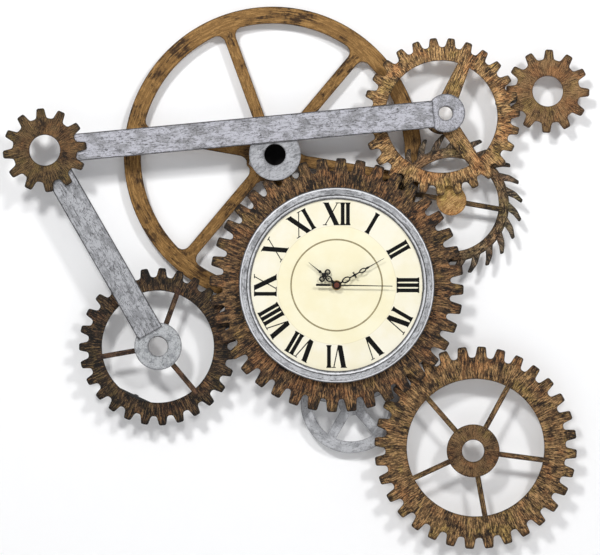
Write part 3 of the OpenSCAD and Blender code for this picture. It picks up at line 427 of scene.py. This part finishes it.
def dial_card(name):
    """Cream printed face: a warmer disc inside a paler band that carries the numerals."""
    paint = Paint(name, roughness=0.62)
    reach = paint.polar(DIAL)[0]
    tone = paint.step(paint.noise(paint.place, scale=22, detail=4, rough=0.55), 0.35, 0.65)
    grain = paint.noise(paint.place, scale=900, detail=3, rough=0.6)
    disc, band = (paint.mix(tone, srgb(*first), srgb(*second)) for first, second in (DISC_TONES, BAND_TONES))
    colour = paint.mix(paint.step(reach, DISC_EDGE - 0.5 * MM, DISC_EDGE + 0.5 * MM), disc, band)
    rim = paint.inverse(paint.step(paint.distance(reach, DISC_EDGE), 0.2 * MM, 0.9 * MM))
    colour = paint.cover(colour, srgb(*DISC_EDGE_TONE), rim, 0.35)
    colour = paint.cover(colour, srgb(*DIAL_GRAIN_TONE), paint.step(grain, 0.5, 0.7), 0.12)
    paint.colour(colour)
    paint.bump(grain, 0.02 * MM)
    return paint.material


def give(material, *names):
    """Puts a material on CAD nodes."""
    for name in names:
        mesh = NODES[name].data
        mesh.materials.clear()
        mesh.materials.append(material)


# Dark, middle and light bronze
OLIVE = ((28, 21, 15), (90, 70, 44), (144, 114, 75))
UMBER = ((17, 14, 12), (60, 46, 34), (126, 99, 67))
HONEY = ((50, 34, 22), (120, 90, 58), (178, 142, 96))
GOLD = ((36, 26, 18), (126, 94, 58), (214, 172, 116))
WALNUT = ((26, 20, 16), (86, 64, 43), (156, 120, 80))
TAN = ((34, 25, 18), (108, 82, 54), (184, 146, 98))
RUST = ((40, 28, 22), (84, 62, 48), (126, 98, 72))
AMBER = ((42, 30, 20), (106, 80, 53), (164, 130, 88))
SMOKE = ((34, 29, 24), (88, 75, 60), (160, 139, 112))
HAZEL = ((34, 27, 20), (104, 84, 60), (168, 140, 102))
BRIGHT_GOLD = ((122, 88, 48), (172, 134, 84), (206, 168, 112))

TOOTHED_PAINTS = (
    # node, shades, how worn, width of the strokes
    ("left_pinion", OLIVE, 0.0, 1.0),
    ("right_pinion", HONEY, -0.01, 1.0),
    ("upper_gear", GOLD, -0.015, 1.0),
    ("dial_gear", WALNUT, 0.0, 0.9),
    ("lower_left_gear_rim", UMBER, 0.02, 0.9),
    ("lower_right_gear_rim", TAN, -0.01, 1.1),
)


def gear_paints():
    for name, shades, worn, stroke in TOOTHED_PAINTS:
        paint = dry_brushed(
            "paint_" + name, centre(name), shades, worn=worn, tip=radius(name), stroke=stroke
        )
        give(paint, name)
    left, right = centre("lower_left_gear_rim"), centre("lower_right_gear_rim")
    escape, cap, hub = centre("escape_wheel_ring"), centre("escape_wheel_cap"), centre("lower_right_gear_hub")
    give(dry_brushed("paint_left_spokes", left, RUST, worn=0.02), "lower_left_gear_spokes")
    give(dry_brushed("paint_right_spokes", right, AMBER), "lower_right_gear_spokes")
    give(dry_brushed("paint_hub_ring", hub, AMBER, stroke=0.6), "lower_right_gear_hub")
    curved_tip = radius("escape_wheel_teeth")
    give(dry_brushed("paint_escape_teeth", escape, SMOKE, worn=0.01, tip=curved_tip), "escape_wheel_teeth")
    give(dry_brushed("paint_escape_ring", escape, HAZEL, line="round"), "escape_wheel_ring")
    give(dry_brushed("paint_escape_spoke", escape, OLIVE), "escape_wheel_spoke")
    slant = Vector((0.8, 0, 0.6))
    give(dry_brushed("paint_escape_cap", cap, BRIGHT_GOLD, line=slant, worn=-0.04), "escape_wheel_cap")
    rim_reach = radius("flywheel") - 26 * MM
    give(flywheel_paint("paint_flywheel", centre("flywheel"), rim_reach), "flywheel")


# Dark, middle and light silver
BRIGHT_SILVER = ((84, 83, 85), (149, 149, 153), (188, 188, 196))
GREY_SILVER = ((80, 80, 82), (142, 143, 146), (180, 181, 185))
PALE_SILVER = ((110, 110, 112), (160, 161, 164), (190, 191, 194))
EYE_SILVER = ((84, 86, 88), (148, 150, 153), (188, 190, 192))
BEZEL_SILVER = ((90, 90, 91), (152, 153, 156), (196, 197, 200))

LINK_W = 41.5 * MM
MIDDLE_EYE_LINE = Vector((0.9, 0, 0.43))


def silver_paints():
    pinion = centre("left_pinion")
    upper_eye, left_eye = centre("long_link_end_eye"), centre("short_link_end_eye")
    for bar, end, shades in (
        ("long_link_bar", upper_eye, BRIGHT_SILVER),
        ("short_link_bar", left_eye, GREY_SILVER),
    ):
        line = (end - pinion) * Vector((1, 0, 1))
        line.normalize()
        give(distressed("paint_" + bar, pinion, line, shades, width=LINK_W), bar)
    outer = radius("bezel")
    # Painted shade rings at the bezel's outer edge and in its grooves, and painted highlight rings on its lips
    painted_shade_radii = [outer - inset * MM for inset in (0.5, 12.2, 17.2)]
    painted_highlight_radii = [outer - inset * MM for inset in (2.6, 14.4)]
    for paint, node, line, shades, wear, more in (
        ("paint_middle_eye", "long_link_middle_eye", MIDDLE_EYE_LINE, GREY_SILVER, 0.5, {}),
        ("paint_upper_eye", "long_link_end_eye", "round", BRIGHT_SILVER, 1.0, {}),
        ("paint_left_eye", "short_link_end_eye", "round", EYE_SILVER, 0.6, {}),
        ("paint_bezel", "bezel", "round", BEZEL_SILVER, 1.0, {"painted_shade_radii": painted_shade_radii, "painted_highlight_radii": painted_highlight_radii}),
        ("paint_slotted_wheel", "slotted_wheel", "round", PALE_SILVER, 0.4, {}),
    ):
        middle = DIAL if node == "bezel" else centre(node)
        give(distressed(paint, middle, line, shades, wear=wear, **more), node)


PLAIN_FINISHES = (
    # material, its two tones, how it is finished, the nodes
    ("black_paint", (30, 29, 28), (46, 43, 40), {"roughness": 0.45, "grain": 260}, (
        "eye_tubes", "spacer_posts", "left_gear_bracket", "right_gear_bracket", "right_pinion_bracket",
        "left_foot_strap", "wall_feet", "hanger_plates", "hanger_spacers")),
    ("foot_rubber", (28, 28, 28), (38, 38, 38), {"roughness": 0.8, "grain": 700}, ("foot_pads", "dial_gasket")),
    ("case_plastic", (26, 26, 27), (36, 36, 37), {"roughness": 0.55, "grain": 1400, "depth": 0.06 * MM}, (
        "movement_front_case", "movement_back_case")),
    ("white_plastic", (232, 230, 222), (214, 212, 204), {"roughness": 0.45, "grain": 900}, (
        "bearing_plate", "fifth_wheel", "second_wheel", "third_wheel", "centre_wheel", "minute_wheel",
        "hour_wheel", "setting_knob")),
    ("board_green", (30, 92, 48), (22, 74, 40), {"roughness": 0.4, "grain": 600}, ("circuit_board",)),
    ("coil_copper", (168, 88, 42), (128, 62, 30), {"roughness": 0.35, "metallic": 0.7, "grain": 2200}, ("coil",)),
    ("magnet", (70, 70, 74), (50, 50, 54), {"roughness": 0.4, "metallic": 0.8, "grain": 900}, ("rotor",)),
    ("battery_sleeve", (42, 56, 96), (34, 46, 84),
        {"roughness": 0.3, "metallic": 0.3, "grain": 500, "coat": 0.5}, ("battery",)),
    ("cap_brown", (140, 82, 66), (104, 56, 44), {"roughness": 0.35, "metallic": 0.4, "grain": 800}, ("hand_cap",)),
)
METAL_FINISHES = (
    ("zinc_steel", (188, 188, 186), (150, 150, 150), (
        "bezel_screws", "battery_contacts", "quartz_crystal", "stator")),
    ("movement_brass", (206, 168, 92), (168, 130, 62), (
        "threaded_bush", "bush_washer", "hex_nut", "cannon_pinion")),
)


def other_paints():
    for name, tone, second, finish, nodes in PLAIN_FINISHES:
        give(plain(name, tone, second, **finish), *nodes)
    for name, tone, second, nodes in METAL_FINISHES:
        give(brushed_metal(name, tone, second), *nodes)
    give(fibreboard("fibreboard", (112, 84, 56), (172, 138, 98)), "dial_backing")
    give(dial_card("dial_card"), "dial_plate")


# ---- Meshes ----


def new_piece(name, bm, material, body):
    """Makes a piece from a bmesh, and lets it ride on a CAD body."""
    mesh = bpy.data.meshes.new(name)
    bmesh.ops.recalc_face_normals(bm, faces=bm.faces)
    bm.to_mesh(mesh)
    bm.free()
    mesh.materials.append(material)
    piece = bpy.data.objects.new(name, mesh)
    bpy.context.scene.collection.objects.link(piece)
    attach(piece, body)


def plate(bm, outline, y_front, thickness):
    """Adds a flat plate with this [x, z] outline, its front face at y_front."""
    corners = [bm.verts.new((x, y_front, z)) for x, z in outline]
    face = bm.faces.new(corners)
    made = bmesh.ops.extrude_face_region(bm, geom=[face])
    moved = [item for item in made["geom"] if isinstance(item, bmesh.types.BMVert)]
    bmesh.ops.translate(bm, vec=(0, thickness, 0), verts=moved)


def join_loops(bm, loops, closed=True):
    """Adds faces between each loop of points and the next, and between the last and the first."""
    count = len(loops[0])
    for k, loop in enumerate(loops):
        following = loops[(k + 1) % len(loops)]
        for i in range(count if closed else count - 1):
            j = (i + 1) % count
            bm.faces.new((loop[i], loop[j], following[j], following[i]))


def ring_plate(bm, middle, outer, inner, y_front, thickness, steps=192):
    """Adds a flat ring with square edges."""
    y_back = y_front + thickness
    angles = [2 * math.pi * i / steps for i in range(steps)]
    loops = []
    for reach, y in ((outer, y_front), (inner, y_front), (inner, y_back), (outer, y_back)):
        points = [(middle.x + reach * math.cos(a), y, middle.z + reach * math.sin(a)) for a in angles]
        loops.append([bm.verts.new(point) for point in points])
    join_loops(bm, loops)


# ---- Dial print ----

# How far from the dial's middle the numerals begin and end
NUMERAL_LOW = 91.5 * MM
NUMERAL_HIGH = 126.2 * MM
# How far the print stands out of the dial, and how far it reaches into it
PRINT_T = 0.12 * MM
PRINT_SINK = 0.02 * MM
# Widths of an upright stroke, a heavy slanted one and a fine slanted one
UPRIGHT_W = 5.8 * MM
HEAVY_W = 8.1 * MM
FINE_W = 1.6 * MM
# Half widths of the serifs on slanted strokes, and their height
HEAVY_SERIF = 4.8 * MM
FINE_SERIF = 3.2 * MM
SERIF_H = 1.3 * MM
LETTER_WIDTH = {"I": 8.0 * MM, "V": 23.5 * MM, "X": 26.5 * MM}
RING_LINE_R = 68.4 * MM
RING_LINE_W = 2.4 * MM


def crossing_of(p, q, r, s):
    """Where the line through p and q meets the line through r and s."""
    d, e = q - p, s - r
    t = ((r.x - p.x) * e.y - (r.y - p.y) * e.x) / (d.x * e.y - d.y * e.x)
    return p + d * t


def letter_i(width, height):
    """One upright stroke, with a short bracketed serif at each end."""
    half, stem = width / 2, UPRIGHT_W / 2
    bracket = 2.4 * SERIF_H
    right = [(half, 0), (half, SERIF_H * 0.8)]
    right += [(stem + 0.3 * SERIF_H, bracket * 0.72), (stem, bracket * 1.3)]
    right += [(x, height - v) for x, v in reversed(right)]
    return right + [(-x, v) for x, v in reversed(right)]


def slanted(foot, head, height, thickness):
    """The left and right edges of a leaning stroke, each as its foot and its head."""
    shifts = (-thickness / 2, thickness / 2)
    return [(Vector((foot + shift, 0)), Vector((head + shift, height))) for shift in shifts]


def foot_serif(at, half):
    """The corners of a flat serif at a stroke's foot, from left to right."""
    return [(at - half, SERIF_H), (at - half, 0), (at + half, 0), (at + half, SERIF_H)]


def head_serif(at, half, height):
    """The corners of a flat serif at a stroke's head, from right to left."""
    low = height - SERIF_H
    return [(at + half, low), (at + half, height), (at - half, height), (at - half, low)]


def letter_v(width, height):
    """A thick stroke on the left and a thin one on the right."""
    half = width / 2
    heavy = slanted(-FINE_W * 0.4, -half + 4.7 * MM, height, HEAVY_W * 0.95)
    fine = slanted(FINE_W * 0.8, half - 3.2 * MM, height, FINE_W)
    top = 1 - SERIF_H / height
    heavy_head = (heavy[0][1].x + heavy[1][1].x) / 2
    outline = [(FINE_W * 0.2, 0), (FINE_W * 1.4, 0), tuple(fine[1][0].lerp(fine[1][1], top))]
    outline += head_serif(fine[0][1].x + FINE_W / 2, 3.1 * MM, height)
    outline += [tuple(fine[0][0].lerp(fine[0][1], top)), tuple(crossing_of(*heavy[1], *fine[0]))]
    outline += [tuple(heavy[1][0].lerp(heavy[1][1], top))]
    outline += head_serif(heavy_head, HEAVY_SERIF, height)
    outline += [tuple(heavy[0][0].lerp(heavy[0][1], top)), tuple(heavy[0][0].lerp(heavy[0][1], 0.02))]
    return outline


def letter_x(width, height):
    """A thick stroke from top left to bottom right, crossed by a thin one."""
    heavy_end = width / 2 - HEAVY_SERIF
    fine_end = width / 2 - 3.4 * MM
    heavy = slanted(heavy_end, -heavy_end, height, HEAVY_W)
    fine = slanted(-fine_end, fine_end, height, FINE_W)
    low = SERIF_H / height

    def on(edge, share):
        return tuple(edge[0].lerp(edge[1], share))

    outline = [on(fine[1], low), tuple(crossing_of(*fine[1], *heavy[0])), on(heavy[0], low)]
    outline += foot_serif(heavy_end, HEAVY_SERIF)
    outline += [on(heavy[1], low), tuple(crossing_of(*fine[1], *heavy[1])), on(fine[1], 1 - low)]
    outline += head_serif(fine_end, FINE_SERIF, height)
    outline += [on(fine[0], 1 - low), tuple(crossing_of(*fine[0], *heavy[1])), on(heavy[1], 1 - low)]
    outline += head_serif(-heavy_end, HEAVY_SERIF, height)
    outline += [on(heavy[0], 1 - low), tuple(crossing_of(*fine[0], *heavy[0])), on(fine[0], low)]
    outline += foot_serif(-fine_end, FINE_SERIF)
    return outline


LETTERS = {"I": letter_i, "V": letter_v, "X": letter_x}
NUMERALS = ("XII", "I", "II", "III", "IV", "V", "VI", "VII", "VIII", "IX", "X", "XI")


def numeral(hour, letters, material):
    """One hour's numeral, its feet towards the dial's middle."""
    angle = math.radians(90 - 30 * hour)
    out = Vector((math.cos(angle), math.sin(angle)))
    aside = Vector((out.y, -out.x))
    height = NUMERAL_HIGH - NUMERAL_LOW
    pen = -sum(LETTER_WIDTH[letter] for letter in letters) / 2
    bm = bmesh.new()
    for letter in letters:
        width = LETTER_WIDTH[letter]
        points = []
        for u, v in LETTERS[letter](width, height):
            place = aside * (pen + width / 2 + u * 0.985) + out * (NUMERAL_LOW + v)
            points.append((DIAL.x + place.x, DIAL.z + place.y))
        plate(bm, points, DIAL_FRONT - PRINT_T, PRINT_T + PRINT_SINK)
        pen += width
    bmesh.ops.triangulate(bm, faces=[f for f in bm.faces if len(f.verts) > 4])
    new_piece(f"numeral_{hour or 12:02d}", bm, material, "clock")


def dial_print():
    ink = plain("numeral_ink", (6, 6, 6), (12, 12, 11), 0.6, grain=1200, depth=0.01 * MM, gloss=0.15)
    for hour, letters in enumerate(NUMERALS):
        numeral(hour, letters, ink)
    olive = plain("ring_ink", (138, 126, 92), (164, 152, 114), 0.55, grain=1200, depth=0.01 * MM)
    bm = bmesh.new()
    y_front = DIAL_FRONT - PRINT_T
    ring_plate(bm, DIAL, RING_LINE_R + RING_LINE_W, RING_LINE_R, y_front, PRINT_T + PRINT_SINK)
    new_piece("dial_ring_line", bm, olive, "clock")


# ---- Hands ----

# How much thicker than drawn the hands' wires are
WIRE = 1.55


class HandShape:
    """Parts of one hand, joined into one solid that stands for a CAD hand.

    They are drawn in millimetres in the hand's own plane, s along the hand and t across it.
    """

    def __init__(self, node, name, angle):
        low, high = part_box(node)
        self.name, self.angle = name, angle
        self.y_front, self.thickness = low.y, high.y - low.y
        self.parts = []

    def place(self, s, t):
        c, d = math.cos(self.angle), math.sin(self.angle)
        return (DIAL.x + (s * c - t * d) * MM, DIAL.z + (s * d + t * c) * MM)

    def shape(self, points):
        """A flat plate inside these points."""
        bm = bmesh.new()
        plate(bm, [self.place(s, t) for s, t in points], self.y_front, self.thickness)
        self.parts.append(bm)

    def mirrored(self, points):
        """A flat plate inside these points on one side of the hand, and their mirror images."""
        self.shape(points + [(s, -t) for s, t in reversed(points) if t])

    def band(self, path, width, closed=False):
        """A flat wire along a path; width may be one number or one for each point."""
        count = len(path)
        widths = [WIRE * w for w in (width if isinstance(width, (list, tuple)) else [width] * count)]
        left, right = [], []
        for i, (s, t) in enumerate(path):
            before = path[i - 1] if closed or i else path[i]
            after = path[(i + 1) % count] if closed or i < count - 1 else path[i]
            run = Vector((after[0] - before[0], after[1] - before[1])).normalized()
            left.append((s - run.y * widths[i] / 2, t + run.x * widths[i] / 2))
            right.append((s + run.y * widths[i] / 2, t - run.x * widths[i] / 2))
        bm = bmesh.new()
        y_back = self.y_front + self.thickness
        loops = []
        for points, y in ((left, self.y_front), (left, y_back), (right, y_back), (right, self.y_front)):
            row = [self.place(s, t) for s, t in points]
            loops.append([bm.verts.new((x, y, z)) for x, z in row])
        join_loops(bm, loops, closed)
        if not closed:
            bm.faces.new([loop[0] for loop in loops])
            bm.faces.new([loop[-1] for loop in loops])
        self.parts.append(bm)

    def oval(self, s, t, half_s, half_t, width):
        self.band(turned(s, t, half_s, half_t), width, closed=True)

    def disc(self, s, t, reach):
        self.shape(turned(s, t, reach, reach))

    def piece(self, material, body):
        """Unites the parts into one solid and softens its edges."""
        objects = []
        for i, bm in enumerate(self.parts):
            mesh = bpy.data.meshes.new(f"{self.name}_{i}")
            bmesh.ops.recalc_face_normals(bm, faces=bm.faces)
            bm.to_mesh(mesh)
            bm.free()
            part = bpy.data.objects.new(mesh.name, mesh)
            bpy.context.scene.collection.objects.link(part)
            objects.append(part)
        first, rest = objects[0], objects[1:]
        for other in rest:
            join = first.modifiers.new("join", "BOOLEAN")
            join.operation = "UNION"
            join.solver = "EXACT"
            join.object = other
        soften = first.modifiers.new("soften", "BEVEL")
        soften.width = 0.12 * MM
        soften.segments = 2
        soften.limit_method = "ANGLE"
        soften.angle_limit = math.radians(50)
        bpy.context.view_layer.update()
        whole = first.evaluated_get(bpy.context.evaluated_depsgraph_get())
        united = bpy.data.meshes.new_from_object(whole)
        for part in objects:
            bpy.data.objects.remove(part)
        united.name = self.name
        united.materials.clear()
        united.materials.append(material)
        piece = bpy.data.objects.new(self.name, united)
        bpy.context.scene.collection.objects.link(piece)
        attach(piece, body)
        return piece


def turned(s, t, half_s, half_t, steps=28):
    """Points round an ellipse about (s, t)."""
    ring = [2 * math.pi * i / steps for i in range(steps)]
    return [(s + half_s * math.cos(a), t + half_t * math.sin(a)) for a in ring]


def arc(s, t, reach, start, end, steps=14):
    """Points on an arc about (s, t), angles in degrees."""
    span = [math.radians(start + (end - start) * i / steps) for i in range(steps + 1)]
    return [(s + reach * math.cos(a), t + reach * math.sin(a)) for a in span]


def reach_of(node, angle):
    """How far a CAD hand reaches from the dial's middle along its own line, in millimetres."""
    line = Vector((math.cos(angle), 0, math.sin(angle)))
    return max((vertex.co - DIAL).dot(line) for vertex in NODES[node].data.vertices) / MM


HOUR_ANGLE, MINUTE_ANGLE, SECOND_ANGLE = math.radians(141), math.radians(29.5), math.radians(-1)
# How far short of a CAD hand's end its tip begins to round off
TIP = 0.5


def hour_hand(material):
    length = reach_of("hour_hand", HOUR_ANGLE)
    hand = HandShape("hour_hand", "hour_hand_pierced", HOUR_ANGLE)
    hand.disc(0, 0, 5.6)
    hand.band([(4.5, 0), (11, 0)], [3.0, 1.5])
    hand.oval(8.2, 0, 1.9, 1.8, 1.0)
    hand.oval(15.6, 0, 5.2, 3.4, 1.35)
    hand.disc(15.6, 0, 1.1)
    for side in (-1, 1):
        hand.oval(23.2, side * 6.9, 3.5, 3.3, 1.5)
        hand.band(arc(20.2, side * 2.6, 2.9, side * -100, side * 60), 1.1)
        hand.band(arc(27.4, side * 4.0, 3.2, side * 200, side * 290), 1.1)
    hand.band([(20, 0), (24, 0), (28, 0)], [1.2, 3.4, 1.4])
    hand.band([(25.5, -3.6), (26.2, 0), (25.5, 3.6)], [0.9, 1.8, 0.9])
    side = [(27, 0), (30, -1.0), (32.6, -2.5), (35, -1.1), (38, -0.75), (length - TIP, -0.3), (length, 0)]
    hand.mirrored(side)
    piece = hand.piece(material, "hour_hand_pipe")
    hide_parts("hour_hand")


def minute_hand(material):
    length = reach_of("minute_hand", MINUTE_ANGLE)
    hand = HandShape("minute_hand", "minute_hand_pierced", MINUTE_ANGLE)
    hand.disc(0, 0, 4.8)
    hand.band([(4, 0), (11, 0)], [2.6, 1.2])
    hand.oval(16.6, 0, 6.0, 3.6, 1.3)
    hand.disc(10.6, 0, 1.5)
    hand.disc(22.9, 0, 1.4)
    hand.band([(22.5, 0), (27, 0), (31.5, 0), (36, 0), (40.5, 0)], [1.6, 1.1, 2.6, 1.1, 1.5])
    for side in (-1, 1):
        hand.band(arc(29.2, side * 2.5, 2.2, side * -80, side * 70), 1.0)
        hand.band(arc(33.8, side * 2.5, 2.2, side * 110, side * 260), 1.0)
    hand.band([(31.5, -4.3), (31.5, 4.3)], 1.3)
    hand.oval(45.5, 0, 5.1, 2.6, 1.2)
    side = [(49.8, 0), (52, -1.7), (54.5, -1.6), (57.5, -0.75), (length - TIP, -0.3), (length, 0)]
    hand.mirrored(side)
    piece = hand.piece(material, "minute_hand_arbor")
    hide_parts("minute_hand")


def second_hand(material):
    length = reach_of("second_hand", SECOND_ANGLE)
    tail = reach_of("second_hand", SECOND_ANGLE + math.pi)
    hand = HandShape("second_hand", "second_hand_needle", SECOND_ANGLE)
    hand.disc(0, 0, 6.3)
    hand.mirrored([(0, -1.0), (length - 0.4, -0.55), (length, 0)])
    hand.band([(-4, 0), (-9, 0), (-12, 0), (-tail, 0)], [1.1, 1.2, 2.3, 2.3])
    piece = hand.piece(material, "second_hand_arbor")
    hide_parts("second_hand")


def hands():
    black = plain("hand_paint", (9, 9, 8), (18, 17, 16), 0.42, grain=900, depth=0.02 * MM, gloss=0.3)
    hour_hand(black)
    minute_hand(black)
    second_hand(black)


# ---- Wall, light and camera ----


def pale(name, tone):
    """A pale surface that shows from its front only, so that the clock can be seen from behind."""
    material = bpy.data.materials.new(name)
    material.use_nodes = True
    tree = material.node_tree
    shader = tree.nodes["Principled BSDF"]
    shader.inputs["Base Color"].default_value = srgb(*tone)
    shader.inputs["Roughness"].default_value = 0.95
    shader.inputs["Specular IOR Level"].default_value = 0.1
    side = tree.nodes.new("ShaderNodeNewGeometry")
    clear = tree.nodes.new("ShaderNodeBsdfTransparent")
    mix = tree.nodes.new("ShaderNodeMixShader")
    tree.links.new(side.outputs["Backfacing"], mix.inputs["Fac"])
    tree.links.new(shader.outputs[0], mix.inputs[1])
    tree.links.new(clear.outputs[0], mix.inputs[2])
    tree.links.new(mix.outputs[0], tree.nodes["Material Output"].inputs["Surface"])
    return material


def stage_plane(name, place, turn, material):
    """A large square of backdrop, turned about X."""
    mesh = bpy.data.meshes.new(name)
    half = BACKDROP_W / 2
    corners = [(-half, -half, 0), (half, -half, 0), (half, half, 0), (-half, half, 0)]
    mesh.from_pydata(corners, [], [(0, 1, 2, 3)])
    mesh.materials.append(material)
    plane = bpy.data.objects.new(name, mesh)
    plane.matrix_world = Matrix.Translation(place) @ Matrix.Rotation(turn, 4, "X")
    bpy.context.scene.collection.objects.link(plane)


def area_light(name, place, power):
    """A round lamp that points at the middle of the clock."""
    light = bpy.data.lights.new(name, "AREA")
    light.shape = "DISK"
    light.size = LAMP_W
    light.energy = power
    lamp = bpy.data.objects.new(name, light)
    lamp.location = place
    lamp.rotation_euler = (LIGHT_AIM - Vector(place)).to_track_quat("-Z", "Y").to_euler()
    bpy.context.scene.collection.objects.link(lamp)


BACKDROP_W = 12
BACKDROP_TONE = (252, 252, 252)
WALL_GAP = 0.5 * MM
FLOOR_AT = (0, -3, -1.5)
LIGHT_AIM = Vector((0.04, 0, -0.19))
LAMP_W = 0.5
SKY_TONE = (250, 251, 255)
SKY_STRENGTH = 0.33


def studio():
    """A pale wall and floor, a lamp at the upper left, a weaker one at the upper right, and an even sky."""
    backdrop = pale("backdrop", BACKDROP_TONE)
    stage_plane("wall", (0, WALL_GAP, 0), math.radians(90), backdrop)
    stage_plane("floor", FLOOR_AT, 0, backdrop)
    area_light("key", (-1.0, -2.4, 1.7), 50)
    area_light("second_key", (1.6, -2.4, 1.4), 36)
    world = bpy.data.worlds.new("studio")
    world.use_nodes = True
    sky = world.node_tree.nodes["Background"]
    sky.inputs["Color"].default_value = srgb(*SKY_TONE)
    sky.inputs["Strength"].default_value = SKY_STRENGTH
    bpy.context.scene.world = world
    bpy.context.scene.view_settings.view_transform = "Standard"


CAMERA_AIM = Vector((0.0421, -0.04, -0.1883))
CAMERA_AWAY = 3.0
VIEW_WIDTH = 0.9186


def camera():
    """Looks straight at the wall with a long lens, VIEW_WIDTH wide at the aim."""
    data = bpy.data.cameras.new("camera")
    data.sensor_width = 36
    data.lens = data.sensor_width * CAMERA_AWAY / VIEW_WIDTH
    eye = bpy.data.objects.new("camera", data)
    eye.location = CAMERA_AIM - Vector((0, CAMERA_AWAY, 0))
    eye.rotation_euler = (math.radians(90), 0, 0)
    bpy.context.scene.collection.objects.link(eye)
    bpy.context.scene.camera = eye


gear_paints()
silver_paints()
other_paints()
dial_print()
hands()
studio()
camera()
